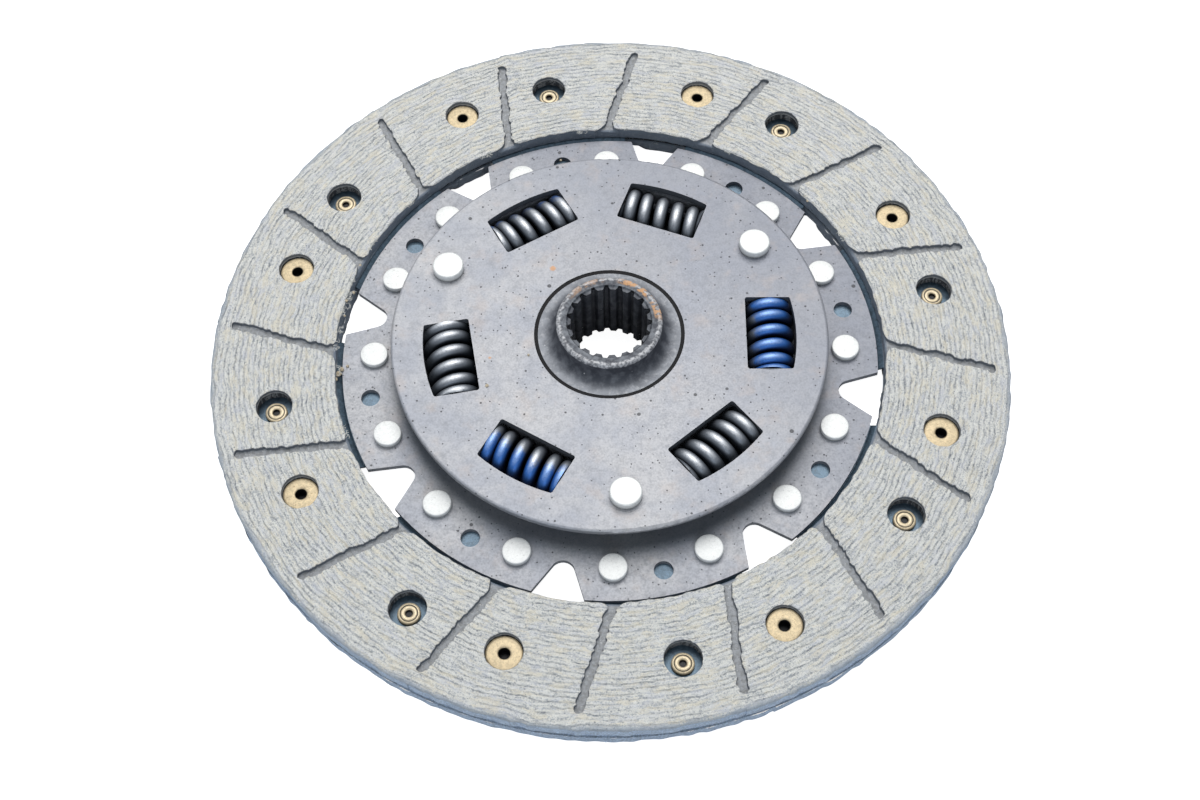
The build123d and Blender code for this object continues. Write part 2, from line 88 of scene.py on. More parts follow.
# A material with one Principled shader, and short ways to add nodes to it.
class Shader:
    def __init__(self, name, **fixed):
        self.material = bpy.data.materials.new(name)
        self.material.use_nodes = True
        self.tree = self.material.node_tree
        self.surface = self.tree.nodes["Principled BSDF"]
        for socketName, number in fixed.items():
            self.surface.inputs[socketName.replace("_", " ")].default_value = number

    # adds a node: its type, its settings first, then values or links for its sockets
    def node(self, kind, settings=None, **sockets):
        made = self.tree.nodes.new(kind)
        for key, setting in (settings or {}).items():
            setattr(made, key, setting)
        for key, given in sockets.items():
            index = int(key[1:]) if key[1:].isdigit() and key[0] == "i" else key.replace("_", " ")
            self.put(made.inputs[index], given)
        return made

    def put(self, socket, given):
        if isinstance(given, Value):
            self.tree.links.new(given.socket, socket)
        else:
            socket.default_value = given

    def maths(self, operation, *terms):
        made = self.node("ShaderNodeMath", {"operation": operation})
        for socket, term in zip(made.inputs, terms):
            self.put(socket, term)
        return Value(self, made.outputs[0])

    # low to high becomes 0 to 1, eased at both ends
    def ramp(self, given, low, high):
        made = self.node("ShaderNodeMapRange", {"interpolation_type": "SMOOTHSTEP"}, Value=given,
                         From_Min=low, From_Max=high)
        return Value(self, made.outputs["Result"])

    # two colours by a factor from 0 to 1; on this node the sockets 0, 6 and 7 are those three
    def blend(self, factor, first, second):
        made = self.node("ShaderNodeMix", {"data_type": "RGBA"})
        for index, given in ((0, factor), (6, first), (7, second)):
            self.put(made.inputs[index], given)
        return Value(self, made.outputs[2])

    # places on the object, in millimetres
    def place(self):
        coordinates = self.node("ShaderNodeTexCoord")
        scaled = self.node("ShaderNodeVectorMath", {"operation": "SCALE"}, Scale=1 / mm)
        self.tree.links.new(coordinates.outputs["Object"], scaled.inputs[0])
        return Value(self, scaled.outputs[0])

    # places moved by an offset, so that two patterns of one kind differ
    def moved(self, where, offset):
        made = self.node("ShaderNodeVectorMath", {"operation": "ADD"}, i0=where, i1=offset)
        return Value(self, made.outputs[0])

    def parts(self, vector):
        made = self.node("ShaderNodeSeparateXYZ", Vector=vector)
        return [Value(self, output) for output in made.outputs]

    def vector(self, x, y, z):
        made = self.node("ShaderNodeCombineXYZ", X=x, Y=y, Z=z)
        return Value(self, made.outputs[0])

    # distance from the shaft axis
    def radius(self, x, y):
        return self.maths("SQRT", x * x + y * y)

    # how far up the surface faces, from -1 to 1
    def level(self):
        return self.parts(Value(self, self.node("ShaderNodeNewGeometry").outputs["Normal"]))[2]

    # the mesh's own depth attribute
    def depth(self):
        return Value(self, self.node("ShaderNodeAttribute", {"attribute_name": "depth"}).outputs["Fac"])

    # grey noise about 0.5, with blobs about size millimetres across
    def noise(self, where, size, detail=3.0, roughness=0.55, seed=0.0):
        made = self.node("ShaderNodeTexNoise", Vector=self.moved(where, (seed, seed * 1.7, seed * 0.6)),
                         Scale=1.0 / size, Detail=detail, Roughness=roughness)
        return Value(self, made.outputs[0])

    # round specks: 1 inside, 0 outside; only a share of the cells has one
    def specks(self, where, cell, radius, share, seed=0.0):
        made = self.node("ShaderNodeTexVoronoi", {"feature": "F1"}, Randomness=1.0, Scale=1.0 / cell,
                         Vector=self.moved(where, (seed, seed, seed)))
        near = 1 - self.ramp(Value(self, made.outputs["Distance"]), radius / cell * 0.6, radius / cell)
        pick = self.node("ShaderNodeSeparateColor", Color=Value(self, made.outputs["Color"]))
        chosen = self.maths("LESS_THAN", Value(self, pick.outputs[0]), share)
        return near * chosen

    def set(self, **sockets):
        for key, given in sockets.items():
            self.put(self.surface.inputs[key.replace("_", " ")], given)

    # height in millimetres pushes the surface's normal
    def bump(self, height):
        made = self.node("ShaderNodeBump", Height=height * mm, Strength=1.0, Distance=1.0)
        self.tree.links.new(made.outputs[0], self.surface.inputs["Normal"])


def grey(level):
    return (level, level, level, 1.0)


# Camera: a pinhole that looks at the shaft axis from the front and above.
camera = {
    "distance": 436.16, "elevation": 59.404, "roll": 0.865, "turn": 0.35, "tip": -1.05,
    "aimHeight": -2.53, "focal": 50.937,
}


# rotation by an angle that carries the first of two axes, by their numbers, towards the second
def turning(angle, first, second):
    matrix = np.eye(3)
    matrix[first, first] = math.cos(angle)
    matrix[second, second] = math.cos(angle)
    matrix[first, second] = -math.sin(angle)
    matrix[second, first] = math.sin(angle)
    return matrix


# position = aim + distance * (0, -cos elevation, sin elevation); the camera's right, up and forward start
# level and square to that line, and are then turned, tipped and rolled
def makeCamera(c):
    elevation, roll, turn, tip = (math.radians(c[k]) for k in ("elevation", "roll", "turn", "tip"))
    away = np.array([0.0, -math.cos(elevation), math.sin(elevation)])
    right = np.array([1.0, 0.0, 0.0])
    level = np.array([right, np.cross(right, -away), -away])
    axes = turning(roll, 0, 1) @ turning(tip, 1, 2) @ turning(turn, 2, 0) @ level
    matrix = np.eye(4)
    matrix[:3, 0], matrix[:3, 1], matrix[:3, 2] = axes[0], axes[1], -axes[2]
    matrix[:3, 3] = (away * c["distance"] + np.array([0, 0, c["aimHeight"]])) * mm
    data = bpy.data.cameras.new("camera")
    data.lens = c["focal"]
    data.sensor_width = 36.0
    data.clip_start = 0.01
    made = bpy.data.objects.new("camera", data)
    bpy.context.scene.collection.objects.link(made)
    made.matrix_world = Matrix(matrix.tolist())
    bpy.context.scene.camera = made


makeCamera(camera)
print("camera set")

# Studio: a soft box behind and above, weaker ones on the left and in front, pale air all round. The floor
# is painted dark between the two radii of paintedShadeRing, as painted shade under the damper.
studio = {
    "softBox": {"place": (0.03, 0.38, 0.78), "size": 0.66, "power": 5.35, "tint": (1.0, 0.985, 0.96)},
    "fillBox": {"place": (-0.62, 0.0, 0.62), "size": 0.5, "power": 0.6, "tint": (0.92, 0.96, 1.0)},
    "frontBox": {"place": (0.05, -0.66, 0.40), "size": 0.5, "power": 1.3, "tint": (0.86, 0.93, 1.0)},
    "air": 0.30,
    "airTint": (0.84, 0.92, 1.0),
    "floorGlow": 0.93,
    "floorTone": 0.8,
    "floorReach": 3.0,
    "paintedShadeRing": (12.5, 52.0),
    "paintedShadeTone": 0.02,
}


# local -Z points from place to the origin
def lookAtOrigin(obj, place):
    away = np.array(place) / np.linalg.norm(place)
    side = np.cross([0.0, 0.0, 1.0], away)
    side = side / np.linalg.norm(side)
    matrix = np.eye(4)
    matrix[:3, 0], matrix[:3, 1], matrix[:3, 2], matrix[:3, 3] = side, np.cross(away, side), away, place
    obj.matrix_world = Matrix(matrix.tolist())


# square lamps, and a world that is white to the camera and pale air to all other rays
def makeStudio(s):
    for name in ("softBox", "fillBox", "frontBox"):
        data = bpy.data.lights.new(name, "AREA")
        data.shape = "SQUARE"
        data.size = s[name]["size"]
        data.energy = s[name]["power"]
        data.color = s[name]["tint"]
        made = bpy.data.objects.new(name, data)
        bpy.context.scene.collection.objects.link(made)
        lookAtOrigin(made, s[name]["place"])
    world = bpy.data.worlds.new("air")
    bpy.context.scene.world = world
    world.use_nodes = True
    tree = world.node_tree
    background = tree.nodes["Background"]
    path = tree.nodes.new("ShaderNodeLightPath")
    pick = tree.nodes.new("ShaderNodeMix")
    pick.data_type = "RGBA"
    pick.inputs[6].default_value = tuple(c * s["air"] for c in s["airTint"]) + (1.0,)
    pick.inputs[7].default_value = (1.0, 1.0, 1.0, 1.0)
    tree.links.new(path.outputs["Is Camera Ray"], pick.inputs[0])
    tree.links.new(pick.outputs[2], background.inputs["Color"])


# the camera sees mostly a plain glow, and the rest is lit, so that the shadow stays; in the ring under
# the damper, where no light comes, the floor is painted dark and loses its glow, as painted shade
def makeFloor(s):
    floor = Shader("floorWhite", Roughness=1.0, Specular_IOR_Level=0.0)
    floor.surface.inputs["Emission Color"].default_value = grey(1.0)
    path = floor.node("ShaderNodeLightPath")
    x, y, z = floor.parts(floor.place())
    radius = floor.radius(x, y)
    inner, outer = s["paintedShadeRing"]
    # dull is the ring of painted shade
    dull = floor.ramp(radius, inner - 1, inner + 1) * (1 - floor.ramp(radius, outer - 1, outer + 1))
    seen = Value(floor, path.outputs["Is Camera Ray"]) * s["floorGlow"] * (1 - dull)
    floor.set(Base_Color=floor.blend(dull, grey(s["floorTone"]), grey(s["paintedShadeTone"])))
    glow = floor.node("ShaderNodeEmission", Strength=seen)
    both = floor.node("ShaderNodeAddShader")
    floor.tree.links.new(floor.surface.outputs[0], both.inputs[0])
    floor.tree.links.new(glow.outputs[0], both.inputs[1])
    output = floor.tree.nodes["Material Output"]
    floor.tree.links.new(both.outputs[0], output.inputs["Surface"])
    reach = s["floorReach"]
    corners = [(-reach, -reach, 0), (reach, -reach, 0), (reach, reach, 0), (-reach, reach, 0)]
    data = bpy.data.meshes.new("floor")
    data.from_pydata(corners, [], [(0, 1, 2, 3)])
    made = bpy.data.objects.new("floor", data)
    bpy.context.scene.collection.objects.link(made)
    data.materials.append(floor.material)


makeStudio(studio)
makeFloor(studio)
bpy.context.scene.view_settings.view_transform = "Standard"
print("studio set")


# Phosphated steel of both plates: flat grey with faint clouds, dark dirt specks and a few rust spots.
plateFinish = {
    "colour": (0.42, 0.435, 0.485, 1.0), "cloud": (0.53, 0.53, 0.55, 1.0), "shadeToOneSide": (0.25, 0.265, 0.32, 1.0),
    "dirt": (0.04, 0.04, 0.045, 1.0), "shade": (0.22, 0.23, 0.26, 1.0), "rust": (0.62, 0.33, 0.16, 1.0),
    # wall is the colour of painted shade, on upright faces and under the retaining plate's rim
    "tint": (0.60, 0.48, 0.40, 1.0), "wall": (0.075, 0.085, 0.10, 1.0),
    # the disc plate lies below this height, and the retaining plate's edge is at this radius
    "lowerPlate": 6.0, "rim": 54.3,
    # place and radius of each rust spot
    "rustSpots": ((-14.1, 19.5, 14.9, 0.7), (-29.5, -6.7, 14.9, 0.35),
                  (22.0, 30.5, 14.9, 0.3), (-38.0, 21.0, 14.9, 0.3)),
}


# clouds, and painted shade towards positive x and y, mottled by fine noise; then dirt in specks and stains,
# more of it on the disc plate, a painted shadow under the retaining plate's rim, painted shade on the upright
# faces, and the rust spots
def plateSteel(p):
    m = Shader("plateSteel", Metallic=0.25)
    where = m.place()
    x, y, z = m.parts(where)
    lower = m.maths("LESS_THAN", z, p["lowerPlate"])
    clouds = m.ramp(m.noise(where, 15.0, 5.0, 0.6), 0.35, 0.65)
    grain = m.noise(where, 0.5, 3.0)
    mottle = m.noise(where, 1.7, 4.0, 0.65, 51.0)
    colour = m.blend(clouds, p["colour"], p["cloud"])
    # painted shade: both plates darker towards positive x and y
    shadeToOneSide = m.ramp((x * 0.75 + y * 0.66) + (clouds - 0.5) * 12, -12, 48)
    colour = m.blend(shadeToOneSide * 0.6, colour, p["shadeToOneSide"])
    fineShade = m.ramp(grain * 0.5 + mottle * 0.5, 0.40, 0.66) * (0.38 + lower * 0.15)
    colour = m.blend(fineShade, colour, p["shade"])
    colour = m.blend(m.ramp(m.noise(where, 3.5, 5.0, 0.7, 87.0), 0.50, 0.72) * 0.3, colour, p["shade"])
    tint = m.ramp(m.noise(where, 6.0, 3.0, 0.6, 17.0), 0.52, 0.75)
    colour = m.blend(tint * 0.22, colour, p["tint"])
    dirt = m.specks(where, 3.0, 0.34, 0.55) + m.specks(where, 1.6, 0.24, 0.6, 31.0)
    dirt = dirt + m.specks(where, 7.0, 0.65, 0.35, 57.0)
    dirtyPlaces = m.ramp(m.noise(where, 8.0, 2.0, 0.5, 37.0), 0.42, 0.6)
    more = m.specks(where, 2.4, 0.34, 0.6, 71.0) * dirtyPlaces * lower
    stain = m.ramp(m.noise(where, 1.1, 5.0, 0.7, 83.0), 0.62, 0.74) * (0.5 + lower * 0.5)
    dirt = (dirt + more + stain).clamped()
    colour = m.blend(dirt * 0.8, colour, p["dirt"])
    radius = m.radius(x, y)
    # painted shadow: the disc plate darkened under the retaining plate's rim and a little beyond it
    rimShadow = (1 - m.ramp(radius + (mottle - 0.5) * 2, p["rim"] - 1, p["rim"] + 2.0)) * lower
    colour = m.blend(rimShadow * 0.75, colour, p["wall"])
    # painted shade on faces that do not look up; less on the disc plate and on the retaining plate's outer
    # rim
    outside = m.ramp(radius, p["rim"] - 1.5, p["rim"] - 1.0) * (1 - lower)
    upright = (1 - m.ramp(m.level(), 0.2, 0.75)) * (0.9 - lower * 0.45 - outside * 0.4)
    colour = m.blend(upright, colour, p["wall"])
    for *middle, spotR in p["rustSpots"]:
        away = m.node("ShaderNodeVectorMath", {"operation": "DISTANCE"}, i0=where, i1=middle)
        spot = 1 - m.ramp(Value(m, away.outputs["Value"]) + m.noise(where, 0.6) * 0.5, spotR, spotR + 0.5)
        colour = m.blend(spot * 0.85, colour, p["rust"])
    m.set(Base_Color=colour, Roughness=0.42 + grain * 0.18)
    m.bump(grain * 0.022 + mottle * 0.02 + clouds * 0.02 - dirt * 0.03)
    return m.material


# Hub: dark phosphate, bright where the nose's rim is worn, rust in patches on its top.
hubFinish = {
    "colour": (0.055, 0.06, 0.075, 1.0), "pale": (0.33, 0.345, 0.38, 1.0), "face": (0.21, 0.225, 0.25, 1.0),
    "worn": (0.66, 0.66, 0.68, 1.0), "rust": (0.80, 0.45, 0.22, 1.0), "shadeBlack": (0.010, 0.012, 0.016, 1.0),
    "noseR": 13.1, "top": 20.5, "bossR": 17.75, "teeth": 19, "grooveAngle": 93.2,
    # the cone at the spline's mouth; half a groove's share of the pitch at the teeth's tips, and its loss
    # with each millimetre outwards
    "coneR": 10.62, "minorR": 9.5, "mouthShare": 0.29, "taper": 0.165,
}


# painted shade dark on the nose's side and paler further out from it, a mottled top with a worn rim, and
# rust on two sides of it; the darkest painted shade in the grooves' mouths, where the distance to a groove's
# middle, as a share of the pitch, is less than a half width that falls off outwards, and more down the spline
def hubSteel(h):
    m = Shader("hubSteel")
    where = m.place()
    x, y, z = m.parts(where)
    radius = m.radius(x, y)
    angle = m.maths("ARCTAN2", y, x)
    grain = m.noise(where, 0.7, 4.0)
    coarse = m.noise(where, 2.6, 4.0)
    # painted shade: dark at the nose's foot, paler further out
    outOfNoseShade = m.ramp(radius + (coarse - 0.5) * 1.6, h["noseR"] + 0.4, h["bossR"] - 0.2)
    colour = m.blend(outOfNoseShade * 0.75 + m.ramp(coarse, 0.4, 0.65) * 0.25, h["colour"], h["pale"])
    ragged = (m.noise(where, 0.9, 4.0, 0.6, 27.0) - 0.5) * 1.6
    nearTop = m.ramp(z + ragged * 0.5, h["top"] - 1.2, h["top"] - 0.6)
    rimEdge = m.ramp(radius + ragged, h["noseR"] - 1.5, h["noseR"] - 0.9) * nearTop
    topFace = m.ramp(z, h["top"] - 0.5, h["top"] - 0.3)
    mottled = m.blend(m.ramp(coarse * 0.6 + grain * 0.4, 0.38, 0.62), h["colour"], h["face"])
    colour = m.blend(topFace, colour, mottled)
    colour = m.blend((rimEdge * (0.25 + m.ramp(grain, 0.35, 0.65) * 0.5)).clamped(), colour, h["worn"])
    # the spline's grooves run out through the mouth's cone, so the cone takes their dark painted shade
    # between teeth
    turn = (angle - math.radians(h["grooveAngle"])) * (h["teeth"] / (2 * math.pi)) + 100
    away = m.maths("PINGPONG", turn, 0.5)
    half = h["mouthShare"] - (radius - h["minorR"]) * h["taper"]
    inCone = 1 - m.ramp(radius, h["coneR"] - 0.04, h["coneR"])
    cone = inCone * m.maths("GREATER_THAN", z, h["top"] - 1.0)
    colour = m.blend(cone * (1 - m.ramp(away - half, -0.02, 0.02)), colour, h["shadeBlack"])
    # painted shade darkening the spline's mouth below the top, less on the lands, and a little over the whole
    # cone
    deep = inCone * (1 - m.ramp(z, h["top"] - 1.4, h["top"] - 1.1))
    land = 1 - m.ramp(radius, h["minorR"] + 0.1, h["minorR"] + 0.5)
    colour = m.blend((deep * (0.45 - land * 0.35) + cone * 0.2 * (1 - deep)).clamped(), colour, h["shadeBlack"])
    patch = m.ramp(m.noise(where, 1.4, 4.0, 0.6, 9.0), 0.44, 0.56)
    side = m.ramp(m.maths("COSINE", angle - 0.7), 0.70, 0.93)
    side = side + m.ramp(m.maths("COSINE", angle - 2.1), 0.85, 0.98) * 0.45
    high = m.ramp(z, h["top"] - 2.6, h["top"] - 0.4) * m.ramp(radius, h["coneR"] + 0.4, h["coneR"] + 0.9)
    rust = patch * side.clamped() * high
    colour = m.blend(rust * 0.85, colour, h["rust"])
    fleck = m.specks(where, 2.4, 0.22, 0.35, 91.0)
    colour = m.blend(fleck * 0.7, colour, h["worn"])
    pale = m.ramp(m.noise(where, 1.2, 4.0, 0.65, 47.0), 0.5, 0.66) * outOfNoseShade
    colour = m.blend(pale * 0.3, colour, h["worn"])
    m.set(Base_Color=colour, Roughness=0.46 + grain * 0.2 + rust * 0.3, Metallic=0.3 - rust * 0.25)
    m.bump(grain * 0.035 + patch * 0.01)
    return m.material


# cloudy colour with small dark marks, and painted shade by the depth attribute, darkest where it is 1
def plainMetal(name, colour, roughness, metallic, dirty=0.15, size=0.8, shade=0.82,
               mark=(0.10, 0.09, 0.08, 1.0), paintedShade=(0.008, 0.008, 0.009, 1.0)):
    m = Shader(name, Metallic=metallic)
    where = m.place()
    grain = m.noise(where, size, 3.0)
    fine = m.noise(where, 0.35, 3.0, 0.6, 7.0)
    dark = tuple(c * shade for c in colour[:3]) + (1.0,)
    body = m.blend(m.ramp(grain * 0.5 + fine * 0.5, 0.38, 0.62), dark, colour)
    marks = m.ramp(m.noise(where, 0.5, 4.0, 0.6, 13.0), 0.60, 0.70) * dirty
    body = m.blend(marks, body, mark)
    body = m.blend(m.depth().clamped(), body, paintedShade)
    m.set(Base_Color=body, Roughness=(grain - 0.5) * 0.15 + roughness)
    m.bump(grain * 0.014 + fine * 0.012)
    return m.material


# Spring wire: dark steel, painted shade on the flanks and a painted highlight along the top of each turn.
# Dark, middle and bright colours, shaded to lit, of the steel and of its paint, and the height of the coils'
# crowns.
wireFinish = {
    "steel": ((0.028, 0.034, 0.044, 1.0), (0.22, 0.24, 0.275, 1.0), (0.86, 0.88, 0.92, 1.0)),
    "paint": ((0.006, 0.014, 0.05, 1.0), (0.04, 0.17, 0.56, 1.0), (0.36, 0.54, 0.90, 1.0)),
    "crown": 15.54,
}


# painted shade, dark to middle by how far up the surface faces and how high it is, and a painted highlight
# bright along the crown; paint, where there is any, does the same in its own colours on places further from
# the shaft than paintFrom
def springWire(name, w, paintFrom=None):
    m = Shader(name)
    where = m.place()
    x, y, z = m.parts(where)
    grain = m.noise(where, 0.4, 3.0)
    cloud = m.noise(where, 1.5, 4.0, 0.65, 19.0)
    level = m.level() + (grain - 0.5) * 0.16
    body = m.ramp(level, 0.15, 0.9) * m.ramp(z + (cloud - 0.5) * 0.8, w["crown"] - 3.2, w["crown"] - 0.9)
    paintedHighlight = m.ramp(level, 0.76, 1.04) * m.ramp(z + (cloud - 0.5) * 1.2, w["crown"] - 2.0, w["crown"] - 0.3)
    # dull: patches where the painted highlight is weaker
    dull = m.ramp(m.noise(where, 0.7, 4.0, 0.7, 29.0), 0.52, 0.68) * 0.45
    dark, middle, bright = w["steel"]
    colour = m.blend(paintedHighlight * (1 - dull) * 0.9, m.blend(body, dark, middle), bright)
    if paintFrom is not None:
        border = m.radius(x, y) + (cloud - 0.5) * 5 + (m.noise(where, 3.0, 2.0, 0.5, 5.0) - 0.5) * 5
        chipped = m.ramp(m.noise(where, 0.8, 4.0, 0.6, 3.0), 0.66, 0.72)
        paint = m.ramp(border, paintFrom - 1.8, paintFrom + 1.8) * (1 - chipped)
        dark, middle, bright = w["paint"]
        painted = m.blend(paintedHighlight * (1 - dull) * 0.8, m.blend(body, dark, middle), bright)
        colour = m.blend(paint, colour, painted)
    m.set(Base_Color=colour, Roughness=0.36 + grain * 0.16, Metallic=0.5)
    m.bump(grain * 0.012)
    return m.material


# Moulded friction material: rings of wavy yarn, pale on the face and darker where it is cut.
frictionFinish = {
    "pale": (1.0, 0.99, 0.94, 1.0), "dark": (0.50, 0.52, 0.54, 1.0), "line": (0.19, 0.21, 0.25, 1.0),
    "lilac": (0.80, 0.82, 0.89, 1.0), "cream": (1.0, 0.92, 0.74, 1.0), "floor": (0.46, 0.475, 0.50, 1.0),
    "side": (0.17, 0.185, 0.21, 1.0), "wall": (0.05, 0.055, 0.065, 1.0), "edge": (0.36, 0.43, 0.53, 1.0),
    "bore": (0.23, 0.27, 0.33, 1.0), "powder": grey(0.30),
    # from ring to ring of the yarn, and the radius at which its noise has its true size round the ring
    "pitch": 1.25, "meanR": 84, "outerR": shared["outerR"], "boreR": shared["boreR"],
}


# tone = fibres along the rings + fine noise; dark lines where the sine of the bent radius peaks; lilac and
# cream patches, chips, pits and flecks; then by depth the groove's side, its powdery floor and the hole's
# wall, and by radius the layered outer wall and the torn bore
def frictionMaterial(f):
    m = Shader("frictionMaterial", Specular_IOR_Level=0.3)
    where = m.place()
    x, y, z = m.parts(where)
    radius = m.radius(x, y)
    depth = m.depth()
    slow = m.noise(where, 9.0, 2.0, 0.5, 3.0)
    jitter = m.noise(where, 2.2, 3.0, 0.6, 33.0)
    bent = radius + (slow - 0.5) * 2.4 + (jitter - 0.5) * 0.8
    acrossX = x / radius * f["meanR"]
    acrossY = y / radius * f["meanR"]
    fibre = m.ramp(m.noise(m.vector(acrossX / 2.4, acrossY / 2.4, bent / 0.5), 1.0, 3.0, 0.6), 0.34, 0.66)
    wave = m.maths("SINE", bent * (2 * math.pi / f["pitch"])) * 0.5 + 0.5
    broken = m.ramp(m.noise(m.vector(acrossX / 6, acrossY / 6, bent / 2), 1.0, 3.0, 0.6, 21.0), 0.30, 0.58)
    line = m.ramp(wave, 0.62, 1.0) * broken
    fine = m.ramp(m.noise(where, 0.42, 3.0, 0.75, 8.0), 0.36, 0.64)
    tone = m.ramp(fibre * 0.40 + fine * 0.60, 0.14, 0.58)
    colour = m.blend(tone, f["dark"], f["pale"])
    colour = m.blend(line * (0.40 + (1 - tone) * 0.40), colour, f["line"])
    patches = m.vector(acrossX / 5, acrossY / 5, bent / 1.6)
    colour = m.blend(m.ramp(m.noise(patches, 1.0, 4.0, 0.65, 41.0), 0.47, 0.68) * 0.55, colour, f["lilac"])
    colour = m.blend(m.ramp(m.noise(patches, 1.0, 4.0, 0.65, 61.0), 0.47, 0.66) * 0.6, colour, f["cream"])
    chips = m.specks(where, 1.3, 0.26, 0.35, 23.0) + m.ramp(m.noise(where, 0.8, 4.0, 0.7, 73.0), 0.64, 0.73)
    colour = m.blend(chips.clamped() * 0.6, colour, f["line"])
    pits = m.ramp(m.noise(where, 0.6, 4.0, 0.75, 67.0), 0.56, 0.68)
    colour = m.blend(pits * 0.7, colour, f["line"])
    flecks = m.specks(where, 1.1, 0.3, 0.45, 43.0)
    colour = m.blend(flecks * 0.75, colour, f["pale"])
    rim = m.ramp(radius + (slow - 0.5) * 2.0 + (fine - 0.5) * 0.8, f["outerR"] - 1.4, f["outerR"] - 0.1)
    colour = m.blend(rim * 0.7, colour, f["edge"])
    cut = m.ramp(depth + (fine - 0.5) * 0.25, 0.05, 0.22)
    powder = m.blend(m.ramp(m.noise(where, 0.8, 4.0, 0.65, 15.0), 0.42, 0.62) * 0.7, f["floor"], f["powder"])
    powder = m.blend(m.ramp(m.noise(where, 0.5, 4.0, 0.7, 95.0), 0.58, 0.68) * 0.6, powder, f["pale"])
    # the groove's side and the hole's wall: the cut material's darker colour together with painted shade of
    # the recesses
    inside = m.blend(m.ramp(depth, 0.95, 1.1), f["side"], powder)
    holeWall = m.blend(m.ramp(fine + fibre, 1.0, 1.4) * 0.45, f["wall"], f["dark"])
    inside = m.blend(m.ramp(depth, 1.25, 1.5), inside, holeWall)
    colour = m.blend(cut, colour, inside)
    layered = m.noise(m.vector(x * 0.3, y * 0.3, z * 1.6), 1.0, 4.0)
    outerWall = m.ramp(radius, f["outerR"] - 0.7, f["outerR"] - 0.4) * m.ramp(depth, 0.35, 0.5)
    bright = tuple(c * 1.7 for c in f["edge"][:3]) + (1.0,)
    layers = m.blend(m.ramp(layered * 0.5 + fine * 0.3, 0.25, 0.60), f["edge"], bright)
    colour = m.blend(outerWall, colour, layers)
    boreWall = (1 - m.ramp(radius, f["boreR"] + 0.3, f["boreR"] + 0.8)) * m.ramp(depth, 0.3, 0.6)
    strands = m.ramp(m.noise(m.vector(x * 1.3, y * 1.3, z * 1.3), 1.0, 5.0, 0.75, 5.0), 0.55, 0.66)
    colour = m.blend(boreWall, colour, m.blend(strands * 0.5, f["bore"], f["dark"]))
    m.set(Base_Color=colour, Roughness=0.66 + fine * 0.25)
    m.bump((fibre * 0.08 - line * 0.13 + fine * 0.12 + slow * 0.05) * (1 - cut * 0.5))
    return m.material


frictionLook = frictionMaterial(frictionFinish)
finishes = {
    "plate": plateSteel(plateFinish),
    "hub": hubSteel(hubFinish),
    "friction": frictionLook,
    "spring": springWire("springWire", wireFinish),
    "springBlue": springWire("springPaintedAll", wireFinish, 36.3),
    "springHalf": springWire("springPaintedHalf", wireFinish, 39.8),
    "springTouch": springWire("springPaintedTouch", wireFinish, 44.5),
    "zinc": plainMetal("zincPlate", (0.91, 0.92, 0.91, 1), roughness=0.5, metallic=0.3, dirty=0.25,
                       size=0.9, shade=0.88),
    "brass": plainMetal("rivetBrass", (0.76, 0.62, 0.40, 1), roughness=0.48, metallic=0.4, dirty=0.6,
                        size=0.9, shade=0.7, mark=(0.26, 0.14, 0.06, 1.0)),
    # curl: the brass made paler as painted light, for curls that sit in the holes' shade
    "curl": plainMetal("rivetCurlPaintedLight", (1.0, 0.84, 0.58, 1), roughness=0.42, metallic=0.3, dirty=0.5,
                       size=0.9, shade=0.75, mark=(0.30, 0.17, 0.07, 1.0)),
    "blued": plainMetal("bluedSteel", (0.13, 0.195, 0.26, 1), roughness=0.36, metallic=0.5, dirty=0.4,
                        size=1.1, shade=0.6),
    "crumb": plainMetal("crumb", (0.78, 0.66, 0.48, 1), roughness=0.8, metallic=0.0, dirty=0.3,
                        size=0.5, shade=0.6),
    "fluff": plainMetal("fluff", (0.80, 0.80, 0.76, 1), roughness=0.8, metallic=0.0, dirty=0.2,
                        size=0.6, shade=0.7),
    "resin": plainMetal("bushResin", (0.008, 0.008, 0.01, 1), roughness=0.8, metallic=0.0),
}
finishOf = {
    "upper_facing": "friction", "lower_facing": "friction", "disc_plate": "plate", "retaining_plate": "plate",
    "hub": "hub", "disc_spring": "spring", "lower_friction_bush": "resin", "upper_friction_bush": "resin",
    "cushion_rivets": "zinc", "upper_facing_rivets": "brass", "lower_facing_rivets": "brass",
    "damper_spring": "spring", "stop_pin": "zinc", "cushion_plate": "blued",
}
for name, node in nodes.items():
    kind = name if name in finishOf else name.rsplit("_", 1)[0]
    node.data.materials.clear()
    node.data.materials.append(finishes[finishOf[kind]])
print("finishes set")


